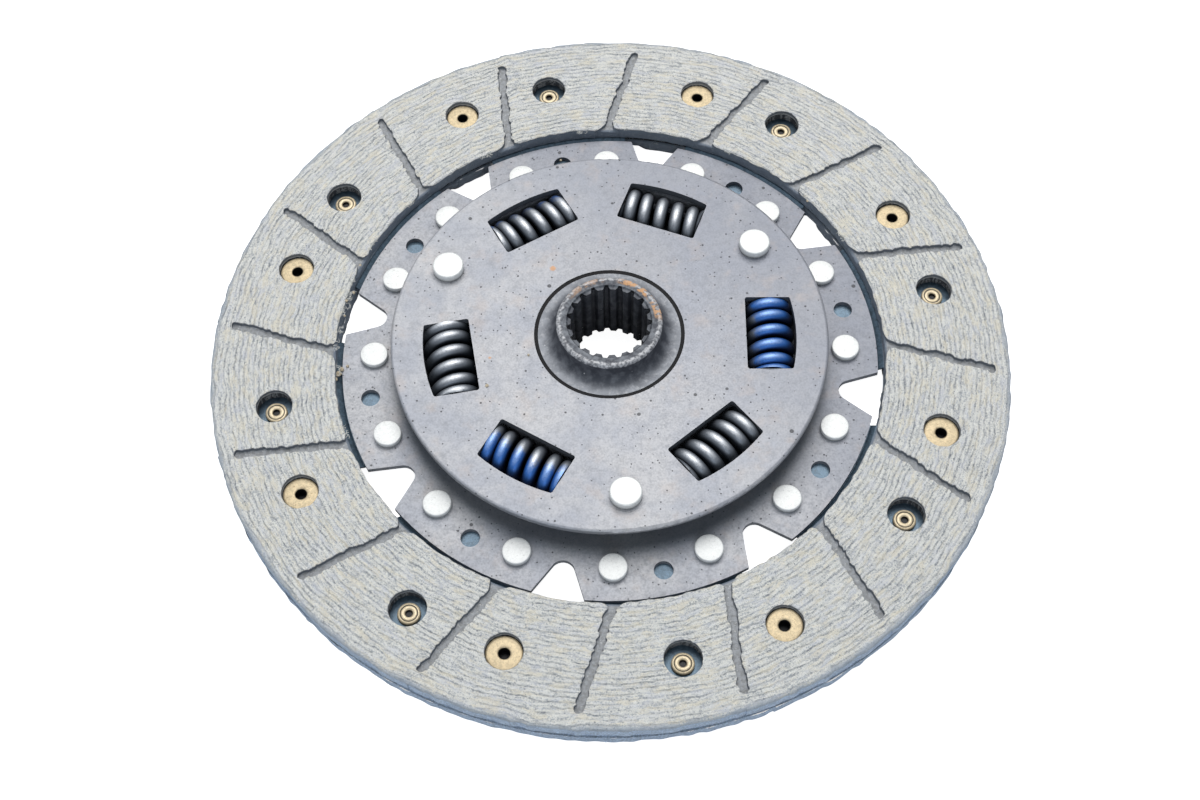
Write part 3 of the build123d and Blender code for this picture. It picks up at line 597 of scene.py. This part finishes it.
# Collects grids of points, in millimetres, and makes one mesh of them with a depth on every point.
class Surface:
    def __init__(self):
        self.points, self.depths, self.loops, self.sizes = [], [], [], []
        self.count = 0

    # points[a][b]; a face's normal is along (step in a) x (step in b), or against it if flipped
    def grid(self, points, depth=0.0, closeA=False, closeB=False, flip=False, keep=None):
        rowsA, rowsB = points.shape[:2]
        index = self.count + np.arange(rowsA * rowsB).reshape(rowsA, rowsB)
        if closeA:
            index = np.vstack([index, index[:1]])
        if closeB:
            index = np.hstack([index, index[:, :1]])
        quads = np.stack([index[:-1, :-1], index[1:, :-1], index[1:, 1:], index[:-1, 1:]], axis=-1)
        quads = quads[..., ::-1] if flip else quads
        quads = quads.reshape(-1, 4) if keep is None else quads[keep]
        self.points.append(points.reshape(-1, 3))
        self.depths.append(np.broadcast_to(depth, (rowsA, rowsB)).ravel())
        self.loops.append(quads.ravel())
        self.sizes.append(np.full(len(quads), 4))
        self.count += rowsA * rowsB
        return index

    # one face over a closed ring of points that are already there
    def cap(self, ring, flip=False):
        self.loops.append(np.asarray(ring)[::-1] if flip else np.asarray(ring))
        self.sizes.append(np.array([len(ring)]))

    # a tube of rings, closed round and with a face over each end
    def closedTube(self, rings, depth=0.0):
        index = self.grid(rings, depth, closeB=True, flip=True)
        self.cap(index[0, :-1], flip=True)
        self.cap(index[-1, :-1])

    # the mesh is smooth except where two faces meet at more than sharp degrees
    def make(self, name, material, sharp, move=None):
        points = np.concatenate(self.points).astype(float)
        points = points if move is None else move(points)
        sizes = np.concatenate(self.sizes)
        data = bpy.data.meshes.new(name)
        data.vertices.add(len(points))
        data.vertices.foreach_set("co", (points * mm).ravel())
        data.loops.add(int(sizes.sum()))
        data.loops.foreach_set("vertex_index", np.concatenate(self.loops).astype(np.int32))
        data.polygons.add(len(sizes))
        data.polygons.foreach_set("loop_start", (np.cumsum(sizes) - sizes).astype(np.int32))
        data.polygons.foreach_set("use_smooth", np.ones(len(sizes), bool))
        data.update(calc_edges=True)
        depth = data.attributes.new("depth", "FLOAT", "POINT")
        depth.data.foreach_set("value", np.concatenate(self.depths).astype(np.float32))
        data.set_sharp_from_angle(angle=math.radians(sharp))
        data.materials.append(material)
        made = bpy.data.objects.new(name, data)
        bpy.context.scene.collection.objects.link(made)
        return made


# a piece rides with a body and stands in for the solids it redraws
def placed(obj, body, *replaced):
    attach(obj, body)
    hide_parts(*replaced)


# smooth random curves that end where they start: knots joined by cosine eases, one row a line
def wander(rng, lines, knots, where, size):
    values = rng.uniform(-size, size, (lines, knots + 1))
    values[:, -1] = values[:, 0]
    spot = np.clip(where, 0, 1) * knots
    low = np.minimum(spot.astype(int), knots - 1)
    ease = 0.5 - 0.5 * np.cos(math.pi * (spot - low))
    return values[:, low] * (1 - ease) + values[:, low + 1] * ease


# points at (radius * cos angle, radius * sin angle, height)
def around(radius, angle, height):
    return np.stack(np.broadcast_arrays(radius * np.cos(angle), radius * np.sin(angle), height), axis=-1)


# direction from a centre as a share of a whole turn
def bearingOf(away):
    return np.arctan2(away[..., 1], away[..., 0]) / (2 * math.pi) % 1.0


# round tube: middle + radius * (cos * first + sin * second), one ring of points a row
def tubeAround(middle, radius, first, second, steps):
    angles = np.linspace(0, 2 * math.pi, steps, endpoint=False)[:, None]
    return middle[:, None] + radius * (np.cos(angles) * first[:, None] + np.sin(angles) * second[:, None])


# Friction facings: a ring with slanted blind grooves, between them pads with one rivet hole each.
facingShape = {
    "outerR": shared["outerR"], "boreR": shared["boreR"], "thickness": shared["facing"],
    "grooves": 16, "grooveHalf": 1.0, "grooveDepth": 1.2, "grooveOffset": 20.0, "grooveEnd": 93.1,
    "mouthR": 2.4, "mouthAngle": 22.4,
    "holeCircleR": shared["rivetCircle"], "holeR": 4.5, "holeSwell": 0.18, "shankR": 2.0, "floor": 0.9,
    "headAngle": shared["upperRivets"], "clearAngle": shared["lowerRivets"] + shared["segment"],
    # the share of a hole that its own cells fill before they are drawn onto its circle
    "holeFill": 0.86,
    # how far the torn edges wander: grooves and holes, a groove's middle, outer edge, bore
    "rag": 0.24, "sway": 0.22, "outerRag": 0.22, "boreRag": 0.18,
    # rows of points, closest at the bore, the grooves' ends and the outer edge: distances out from the
    # bore, then first radius, last radius and count, then radii, and so on
    "boreRows": (0.0, 0.1, 0.25, 0.5, 0.8, 1.15, 1.55, 2.0), "midRows": (71.6, 94.6, 45),
    "endRows": (95.0, 95.4, 95.75, 96.0, 96.12, 96.19, 96.24), "outRows": (96.8, 99.3, 6),
    "edgeRows": (99.55, 99.72, 99.84, 99.93, 100.0),
}
# across a groove: distance from its middle in half widths, and depth in groove depths
grooveProfile = np.array([
    (-1.35, 0.0), (-1.12, 0.02), (-1.04, 0.10), (-1.0, 0.35), (-0.96, 0.75), (-0.88, 0.95), (-0.5, 1.0),
    (0.0, 0.98), (0.5, 1.0), (0.88, 0.95), (0.96, 0.75), (1.0, 0.35), (1.04, 0.10), (1.12, 0.02), (1.35, 0.0),
])
# rounded edges: radius, and the fall of the face there
edgeFall = np.array([
    (69.1, 0.30), (69.2, 0.12), (69.35, 0.04), (69.6, 0.0),
    (99.3, 0.0), (99.55, 0.05), (99.72, 0.13), (99.84, 0.24), (99.93, 0.38), (100.0, 0.6),
])
# down a hole's torn wall: how far out from the hole's radius, and how far down
holeWall = ((0.06, 0.07), (0.0, 0.3), (-0.02, 1.2), (0.0, 2.0))


# Angles and heights of a sheet's columns, one value for each radius. A groove's middle is a line that passes
# the axis at its offset, so its angle is turn + arcsin(offset / radius); its columns keep to the profile
# either side of that, and padColumns steps share out the pad up to the next groove.
def sheetColumns(f, rng, radii, padColumns, grooved):
    gap = 2 * math.pi / f["grooves"]
    boreX = math.sqrt(f["boreR"]**2 - f["grooveOffset"]**2)
    turn = math.radians(f["mouthAngle"]) - math.asin(f["grooveOffset"] / f["boreR"])
    along = np.sqrt(radii**2 - f["grooveOffset"]**2)
    mouth = np.clip((boreX + f["mouthR"] - along) / f["mouthR"], 0, 1)
    end = np.clip((along - f["grooveEnd"]) / f["grooveHalf"], 0, 1)
    half = (f["grooveHalf"] + f["mouthR"] * (1 - np.sqrt(1 - mouth**2))) * np.sqrt(1 - end**2)
    cut = end < 0.999
    deep = np.where(cut, f["grooveDepth"], 0.0)
    share = (radii - radii[0]) / (radii[-1] - radii[0])
    span = grooveProfile if grooved else grooveProfile[[0, -1]]
    walls = wander(rng, 2 * f["grooves"], 19, share, f["rag"])
    walls = walls + wander(rng, 2 * f["grooves"], 47, share, 1.3 * f["rag"])
    sway = wander(rng, f["grooves"], 7, share, f["sway"])
    banks = []
    for k in range(f["grooves"]):
        bank = []
        for across in span[:, 0]:
            wall = half + walls[2 * k + int(across > 0)] * cut
            reach = abs(across) * wall if abs(across) <= 1 else wall + abs(across) - 1
            offset = f["grooveOffset"] + sway[k] * cut + math.copysign(1, across) * reach
            bank.append(turn + gap * k + np.arcsin(offset / radii))
        banks.append(np.array(bank))
    part = np.arange(1, padColumns)[:, None] / padColumns
    angles, heights = [], []
    for k, bank in enumerate(banks):
        lap = gap * f["grooves"] if k == f["grooves"] - 1 else 0
        following = banks[(k + 1) % f["grooves"]][0] + lap
        angles += [bank, bank[-1] * (1 - part) + following * part]
        heights += [-span[:, 1:] * deep, np.zeros((padColumns - 1, len(radii)))]
    return np.concatenate(angles), np.concatenate(heights)


# Draws the cells near a hole onto circles about its centre, torn by a random curve, and eases them back to
# their own places further out. Moves the points of pad in place, and gives the block of cells that the hole
# takes and the hole's rim.
def drawHole(f, rng, pad, row, steps, centre, holeR):
    middle = int(np.argmin(np.hypot(*(pad[:, row] - centre).T)))
    cells = [max(1, round(f["holeFill"] * holeR / step)) for step in steps]
    i, j = np.meshgrid(np.arange(pad.shape[0]) - middle, np.arange(pad.shape[1]) - row, indexing="ij")
    ring = np.maximum(abs(i) / cells[0], abs(j) / cells[1])
    limit = 1 + 3.2 / holeR if holeR > 3 else 3.0
    away = pad - centre
    distance = np.maximum(np.hypot(away[..., 0], away[..., 1]), 1e-6)
    bearing = bearingOf(away)
    rag = wander(rng, 1, 27, bearing.ravel(), f["rag"]).reshape(bearing.shape)
    circleR = holeR + f["holeSwell"] + rag + (ring - 1) * f["holeFill"] * holeR
    rounded = away / distance[..., None] * circleR[..., None]
    ease = np.clip((ring - 1) / (limit - 1), 0, 1)
    ease = (ease * ease * (3 - 2 * ease))[..., None]
    drawn = centre + rounded * (1 - ease) + away * ease
    near = (ring >= 1) & (ring < limit)
    pad[near] = drawn[near]
    a0, a1, b0, b1 = middle - cells[0], middle + cells[0], row - cells[1], row + cells[1]
    loop = [(a, b0) for a in range(a0, a1)] + [(a1, b) for b in range(b0, b1)]
    loop += [(a, b1) for a in range(a1, a0, -1)] + [(a0, b) for b in range(b1, b0, -1)]
    return (a0, a1, b0, b1), np.array([pad[a, b] for a, b in loop])


# One face of the ring as a sheared polar grid: its columns follow the grooves, and each pad has its hole.
# With no grooves the same grid serves as the underside.
def facingSheet(f, rng, radii, padColumns, holeRs, grooved):
    angles, heights = sheetColumns(f, rng, radii, padColumns, grooved)
    points = around(radii[None, :], angles, heights)
    perGroove = len(angles) // f["grooves"]
    keep = np.ones((len(angles), len(radii) - 1), bool)
    row = int(np.argmin(abs(radii - f["holeCircleR"])))
    padStep = 2 * math.pi / f["grooves"] * f["holeCircleR"] / (1.1 * padColumns)
    steps = (padStep, radii[row + 1] - radii[row])
    rims = []
    for k in range(f["grooves"]):
        angle = math.radians((f["headAngle"], f["clearAngle"])[k % 2] + shared["segment"] * (k // 2))
        centre = f["holeCircleR"] * np.array([math.cos(angle), math.sin(angle)])
        inside = (perGroove * (k + 1) - padColumns + np.arange(padColumns + 1)) % len(angles)
        pad = points[inside][..., :2]
        (a0, a1, b0, b1), rim = drawHole(f, rng, pad, row, steps, centre, holeRs[k % 2])
        points[inside, :, :2] = pad
        keep[np.ix_(inside[a0:a1], np.arange(b0, b1))] = False
        rims.append((centre, rim))
    return points, keep, rims


# The torn face, the plain underside, a wall round the outside and one round the bore, and the holes' walls.
# The depth attribute is millimetres below the face, but 1.5 underneath and 0.4 to 2.4 down the two walls.
def makeFacing(name, f, seed, material, move):
    rng = np.random.default_rng(seed)
    sheet = Surface()
    radii = np.concatenate([
        f["boreR"] + np.array(f["boreRows"]), np.linspace(*f["midRows"]), f["endRows"],
        np.linspace(*f["outRows"]), f["edgeRows"],
    ])
    top, keep, rims = facingSheet(f, rng, radii, 46, (f["holeR"], f["holeR"]), True)
    depth = -top[..., 2]
    top[..., 2] += f["thickness"] - np.interp(radii, *edgeFall.T)
    turns = np.linspace(0, 1, len(top), endpoint=False)
    outerRag = wander(rng, 1, 370, turns, f["outerRag"])[0] + wander(rng, 1, 90, turns, 0.08)[0]
    boreRag = wander(rng, 1, 260, turns, f["boreRag"])[0] + wander(rng, 1, 90, turns, 0.6 * f["boreRag"])[0]
    unit = top[..., :2] / np.hypot(top[..., 0], top[..., 1])[..., None]
    nearOuter = np.clip((radii - f["outerR"] + 1.0) / 0.8, 0, 1)
    nearBore = np.clip((f["boreR"] + 1.1 - radii) / 1.1, 0, 1)
    top[..., :2] += unit * (outerRag[:, None] * nearOuter)[..., None]
    top[..., :2] += unit * (boreRag[:, None] * nearBore)[..., None]
    sheet.grid(top, depth, closeA=True, flip=True, keep=keep)
    coarse = np.linspace(f["boreR"], f["outerR"], 25)
    under, keepUnder, _ = facingSheet(f, rng, coarse, 22, (f["shankR"], f["holeR"]), False)
    sheet.grid(under, 1.5, closeA=True, keep=keepUnder)
    share = np.linspace(0, 1, 8)[None, :, None]
    for edge, push, flip in ((top[:, -1], 0.0, True), (top[:, 0], 0.12, False)):
        foot = edge * np.array([1.0, 1.0, 0.0])
        rough = 1 + wander(rng, 8, 300, turns, push).T[..., None] * np.array([1, 1, 0]) / f["boreR"]
        wall = (edge[:, None] * (1 - share) + foot[:, None] * share) * rough
        wall[:, 0] = edge
        wallDepth = np.broadcast_to(share[..., 0] * 2.0 + 0.4, wall.shape[:2])
        sheet.grid(wall, wallDepth, closeA=True, flip=flip)
    seat = f["thickness"] - f["floor"]
    shank = f["shankR"] - f["holeR"]
    forHead = holeWall + ((0.0, seat), (-0.4, seat), (shank, seat), (shank, f["thickness"]))
    forClear = holeWall + ((0.0, 2.8), (0.0, f["thickness"]))
    for k, (centre, rim) in enumerate(rims):
        away = rim - centre
        unit = away / np.hypot(*away.T)[:, None]
        bearing = bearingOf(unit)
        rings = [np.column_stack([rim, np.full(len(rim), f["thickness"])])]
        downs = [0.0]
        for out, down in (forHead, forClear)[k % 2]:
            rough = wander(rng, 1, 29, bearing, 0.09 if out > -0.1 else 0.0)[0]
            spot = centre + unit * (f["holeR"] + out + rough)[:, None]
            rings.append(np.column_stack([spot, np.full(len(rim), f["thickness"] - down)]))
            downs.append(down)
        sheet.grid(np.array(rings), np.array(downs)[:, None], closeB=True, flip=True)
    return sheet.make(name, material, 40.0, move)


# the upper facing lies at the top of the stack
def liftUpper(points):
    return points + np.array([0.0, 0.0, shared["stack"] - shared["facing"]])


# the lower one is the same part turned over and round, so that its rivet holes meet the upper one's
def turnLower(points):
    turned = points * np.array([1.0, -1.0, -1.0]) + np.array([0.0, 0.0, shared["facing"]])
    angle = math.radians(shared["upperRivets"] + shared["lowerRivets"])
    x, y = turned[:, 0].copy(), turned[:, 1].copy()
    turned[:, 0] = x * math.cos(angle) - y * math.sin(angle)
    turned[:, 1] = x * math.sin(angle) + y * math.cos(angle)
    return turned


placed(makeFacing("upperFacing", facingShape, 11, frictionLook, liftUpper), discBody, "upper_facing")
placed(makeFacing("lowerFacing", facingShape, 23, frictionLook, turnLower), discBody, "lower_facing")
print("facings made")


# Pieces turned about upright axes: a profile of (radius, height) from bottom to top goes round each place,
# and a third number in a profile point is how much painted shade it takes. Each copy is a little out of
# round, by up to vary, and its top tips by up to tilt.
def turnedPieces(name, profile, places, material, seed, steps, vary, tilt, openEnds=False):
    rng = np.random.default_rng(seed)
    sheet = Surface()
    profile = np.array([point if len(point) == 3 else (*point, 0.0) for point in profile], float)
    foot, height = profile[0, 1], profile[:, 1].max() - profile[0, 1]
    angles = np.linspace(0, 2 * math.pi, steps, endpoint=False)
    for x, y in places:
        lobes = 1 + vary * np.sin(angles * 2 + rng.uniform(0, 6.3)) * rng.uniform(0.3, 1)
        lobes = lobes + vary * rng.uniform(-1, 1)
        rings = around(profile[:, None, 0] * lobes, angles, profile[:, None, 1])
        lean, way = rng.uniform(0, tilt), rng.uniform(0, 6.3)
        rise = np.clip((rings[..., 2] - foot) / height, 0, 1)
        rings[..., 2] += lean * rise * np.cos(angles - way) * rings[..., 0].max() * 0.2
        rings[..., :2] += (x, y)
        if openEnds:
            sheet.grid(rings, profile[:, None, 2], closeB=True, flip=True)
        else:
            sheet.closedTube(rings, profile[:, None, 2])
    return sheet.make(name, material, 50.0)


# places spread evenly round a circle, the first of them at the angle first
def circleSpots(radius, first, count):
    angles = np.radians(first + 360.0 / count * np.arange(count))
    return np.column_stack([radius * np.cos(angles), radius * np.sin(angles)])


# quarter-round edge from (outer, top - edge) up and in to (outer - edge, top)
def roundedEdge(outer, top, edge):
    angles = np.linspace(0, math.pi / 2, 6)
    return [(outer - edge + edge * math.cos(a), top - edge + edge * math.sin(a)) for a in angles]


# the same edge at a foot, from (outer - edge, bottom) out and up to (outer, bottom + edge)
def roundedFoot(outer, bottom, edge):
    return [(r, 2 * bottom - z) for r, z in reversed(roundedEdge(outer, bottom, edge))]


# Bright rivets of the cushion plates, and the stop pins, which space the two plates apart.
cushionRivet = {
    "circle": 59.45, "first": 0.05, "count": 16, "seed": 5, "headR": 3.5, "top": 6.87, "shankR": 2.5,
    "bottom": 1.67, "edge": 0.28, "footEdge": 0.4,
}
stopPin = {
    "circle": 45.0, "first": 34.2, "count": 3, "seed": 30, "headR": 3.9, "top": 17.32, "shankR": 2.7,
    "barrelR": 3.6, "bottom": 1.57, "edge": 0.4, "footEdge": 0.5,
}


# foot, shank through the cushion plate and the disc plate, and a head with painted shade at its own foot
def makeRivets(c):
    headR, shankR, seat = c["headR"], c["shankR"], shared["discTop"]
    profile = roundedFoot(headR, c["bottom"], c["footEdge"])
    profile += [(headR, shared["cushionUnder"]), (shankR, shared["cushionUnder"]), (shankR, seat)]
    profile += [(headR - 0.1, seat), (headR, seat + 0.23, 0.7), (headR, seat + 0.73, 0.3)]
    profile += roundedEdge(headR, c["top"] - 0.08, c["edge"])
    profile += [(headR * 0.5, c["top"] - 0.02), (0.4, c["top"])]
    places = circleSpots(c["circle"], c["first"], c["count"])
    made = turnedPieces("cushionRivets", profile, places, finishes["zinc"], c["seed"], 64, 0.012, 0.04)
    placed(made, discBody, "cushion_rivets")


# foot, shank through the disc plate, barrel between the plates, shank through the retaining plate, head with
# painted shade at its foot
def makePins(c):
    headR, shankR, barrelR, seat = c["headR"], c["shankR"], c["barrelR"], shared["retainingTop"]
    profile = roundedFoot(headR, c["bottom"], c["footEdge"])
    profile += [(headR, shared["discUnder"]), (shankR, shared["discUnder"]), (shankR, shared["discTop"])]
    profile += [(barrelR, shared["discTop"]), (barrelR, shared["retainingUnder"])]
    profile += [(shankR, shared["retainingUnder"]), (shankR, seat)]
    profile += [(headR - 0.1, seat), (headR, seat + 0.18, 0.75), (headR, seat + 0.88, 0.3)]
    profile += roundedEdge(headR, c["top"] - 0.05, c["edge"])
    profile += [(headR * 0.5, c["top"] - 0.01), (0.4, c["top"])]
    for number, place in enumerate(circleSpots(c["circle"], c["first"], c["count"])):
        made = turnedPieces(f"stopPin{number + 1}", profile, [place], finishes["zinc"], c["seed"] + number,
                            96, 0.008, 0.03)
        placed(made, discBody, f"stop_pin_{number + 1}")


# Tubular brass rivets: a flat head with a hole, and at the other end a rolled curl with a narrow mouth.
brassRivet = {
    "circle": shared["rivetCircle"], "count": 8, "seat": 5.8, "headR": 4.3, "headH": 1.1, "boreR": 1.35,
    "shankR": 2.0, "grip": 1.6, "curlR": 2.75, "curlH": 1.1,
}


# from a floor in the mouth out over the curl, up the shank, round the head and back down its bore to a
# floor; a rivet whose head is in the lower facing has its heights turned over in the stack
def makeBrass(name, c, first, up, node, seed):
    seat = c["seat"]
    curl = seat - c["grip"]
    tip = curl - c["curlH"]
    top = seat + c["headH"]
    # the third numbers are painted shade: darkest in the mouth, the bore and on the shank, in a thin ring on
    # the curl, and down the curl's and the head's sides
    mouth = [(0.02, tip + 0.9, 1), (0.8, tip + 0.9, 1), (0.82, tip + 0.5, 1), (0.95, tip + 0.2, 0.3),
             (1.1, tip + 0.08, 0)]
    roll = [(1.45, tip, 0), (1.8, tip + 0.05, 0), (1.95, tip + 0.16, 0.9), (2.08, tip + 0.16, 0.9),
            (2.18, tip + 0.04, 0), (2.45, tip + 0.06, 0), (2.65, tip + 0.2, 0),
            (c["curlR"], tip + 0.45, 0.3), (c["curlR"], curl - 0.2, 0.6)]
    shank = [(c["shankR"], curl, 1), (c["shankR"], seat, 1)]
    head = [(c["headR"] - 0.12, seat, 1), (c["headR"], seat + 0.12, 1), (c["headR"], top - 0.2, 0.5),
            (c["headR"] - 0.14, top - 0.04, 0), (c["headR"] - 0.5, top, 0), (2.3, top - 0.03, 0),
            (1.8, top, 0), (1.52, top - 0.06, 0.1)]
    bore = [(c["boreR"], top - 0.25, 0.9), (c["boreR"], top - 0.6, 1), (c["boreR"], tip + 1.1, 1),
            (0.02, tip + 1.1, 1)]
    profile = mouth + roll + shank + head + bore
    if not up:
        profile = [(r, shared["stack"] - z, shadeBlack) for r, z, shadeBlack in reversed(profile)]
    material = finishes["brass" if up else "curl"]
    places = circleSpots(c["circle"], first, c["count"])
    made = turnedPieces(name, profile, places, material, seed, 56, 0.012, 0.05, openEnds=True)
    placed(made, discBody, node)


makeRivets(cushionRivet)
makePins(stopPin)
makeBrass("upperBrass", brassRivet, shared["upperRivets"], True, "upper_facing_rivets", 41)
makeBrass("lowerBrass", brassRivet, shared["lowerRivets"], False, "lower_facing_rivets", 43)
print("rivets made")


# Loose dirt where wear left it. Crumbs: distance from the axis, angle, height and radius. Fluff: distance,
# angle, height and length.
looseDirt = {
    "crumbs": (
        (68.4, 184.5, 6.0, 0.75), (67.6, 183.2, 5.6, 0.55), (69.0, 186.0, 6.6, 0.5), (66.2, 182.4, 5.4, 0.35),
        (68.0, 164.8, 7.6, 0.4), (68.8, 167.4, 8.2, 0.35), (68.2, 171.0, 7.9, 0.3), (69.3, 158.0, 8.2, 0.3),
        (62.4, 101.5, 5.3, 0.3), (20.9, 197.0, 15.0, 0.3), (33.4, 206.0, 15.0, 0.45), (68.9, 40.0, 8.0, 0.3),
    ),
    "fluff": (
        (68.6, 165.0, 8.1, 3.2), (68.2, 167.5, 7.8, 2.6), (69.2, 163.0, 8.5, 2.4), (68.9, 170.0, 8.2, 2.2),
        (68.5, 174.0, 7.6, 2.0), (69.0, 178.5, 8.0, 2.2), (68.3, 184.0, 6.8, 2.4), (69.3, 152.0, 8.4, 2.0),
        (69.0, 140.0, 8.2, 1.8), (68.8, 118.0, 8.0, 1.6), (69.1, 62.0, 8.2, 1.6), (69.0, 28.0, 8.1, 1.8),
        (68.9, 200.0, 7.9, 1.8), (68.8, 96.0, 8.0, 1.5),
    ),
    "thin": 0.07, "strands": 5, "seed": 77,
}


# a crumb is a flattened ball dented by random shares of its radius
def makeCrumbs(d, rng):
    crumbs = Surface()
    up = np.linspace(-math.pi / 2, math.pi / 2, 9)
    angles = np.linspace(0, 2 * math.pi, 12, endpoint=False)
    for circle, bearing, z, size in d["crumbs"]:
        bearing = math.radians(bearing)
        swell = 1 + rng.uniform(-0.28, 0.28, (len(up), len(angles)))
        swell[[0, -1]] = 1
        ball = around(size * np.cos(up)[:, None] * swell, angles, size * 0.7 * np.sin(up)[:, None] * swell)
        middle = (circle * math.cos(bearing), circle * math.sin(bearing), z)
        crumbs.grid(ball + middle, closeB=True, flip=True)
    return crumbs.make("crumbs", finishes["crumb"], 60.0)


# a strand runs straight along its heading, wanders to the side and up, and thins towards both ends
def makeFluff(d, rng):
    fluff = Surface()
    along = np.linspace(0, 1, 14)
    for circle, bearing, z, length in d["fluff"]:
        for _ in range(d["strands"]):
            turn = math.radians(bearing + rng.uniform(-1.5, 1.5))
            heading = turn + math.pi / 2 + rng.uniform(-1.2, 1.2)
            reach = length * rng.uniform(0.5, 1.0) * (along - 0.5)
            sway = wander(rng, 2, 4, along, 0.35 * length)
            x = circle * math.cos(turn) + reach * math.cos(heading) - sway[0] * math.sin(heading)
            y = circle * math.sin(turn) + reach * math.sin(heading) + sway[0] * math.cos(heading)
            middle = np.stack([x, y, z + 0.35 * sway[1]], axis=-1)
            thin = d["thin"] * (1 - 0.8 * abs(2 * along - 1)**3)
            side = np.stack([-np.gradient(y), np.gradient(x), np.zeros(len(x))], axis=-1)
            side /= np.linalg.norm(side, axis=1)[:, None]
            lift = np.broadcast_to([0.0, 0.0, 1.0], side.shape)
            fluff.closedTube(tubeAround(middle, thin[:, None, None], side, lift, 5))
    return fluff.make("fluff", finishes["fluff"], 60.0)


# both kinds draw from one source of random numbers, the crumbs first
def makeDirt(d):
    rng = np.random.default_rng(d["seed"])
    crumbMade = makeCrumbs(d, rng)
    fluffMade = makeFluff(d, rng)
    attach(crumbMade, discBody)
    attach(fluffMade, discBody)


makeDirt(looseDirt)
print("loose dirt made")


# Damper springs. Coils are free to this far from the spring's middle, and the wire runs over past its end
# before it is ground away; keep is the share of its length that a spring has left at the hub's limits.
springShape = {
    "circle": 39.8, "height": 9.045, "coilR": 4.85, "wireR": 1.65, "pitch": 4.2, "length": 20.5,
    "free": 6.6, "over": 2.0, "keep": 0.7,
    "angles": (-0.8, 69.2, 119.2, 189.2, 239.2, 309.2), "turned": (-114, -32, 131, 199, 161, -58),
    "finish": ("springBlue", "spring", "springTouch", "spring", "springHalf", "spring"),
}


# round wire on a helix with closed ends: past the free turns the wire lies turn on turn, and it is ground
# flat where it would pass the spring's length; the helix's axis is then laid along the window
def makeSpring(s, number):
    angle = math.radians(s["angles"][number])
    path = s["length"] - s["wireR"]
    reach = s["free"] + (path / 2 + s["over"] - s["free"]) * s["pitch"] / (2 * s["wireR"])
    linear = np.linspace(-reach, reach, 561)
    turn = 2 * math.pi * (linear + path / 2) / s["pitch"] - math.radians(s["turned"][number])
    closed = np.maximum(np.abs(linear) - s["free"], 0) * (1 - 2 * s["wireR"] / s["pitch"])
    middle = around(s["coilR"], turn, linear - np.sign(linear) * closed)
    along = around(s["coilR"], turn + math.pi / 2, s["pitch"] / (2 * math.pi))
    along = along / np.linalg.norm(along, axis=1)[:, None]
    outward = around(1.0, turn, 0.0)
    tube = tubeAround(middle, s["wireR"], outward, np.cross(along, outward), 24)
    tube[..., 2] = np.clip(tube[..., 2], -s["length"] / 2, s["length"] / 2)
    radial = tube[..., 0] + s["circle"]
    sideways = -tube[..., 2]
    x = radial * math.cos(angle) - sideways * math.sin(angle)
    y = radial * math.sin(angle) + sideways * math.cos(angle)
    sheet = Surface()
    sheet.closedTube(np.stack([x, y, tube[..., 1] + s["height"]], axis=-1))
    made = sheet.make(f"damperSpring{number + 1}", finishes[s["finish"][number]], 40.0)
    placed(made, discBody, f"damper_spring_{number + 1}")
    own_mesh(made)


for number in range(len(springShape["angles"])):
    makeSpring(springShape, number)
print("springs made")
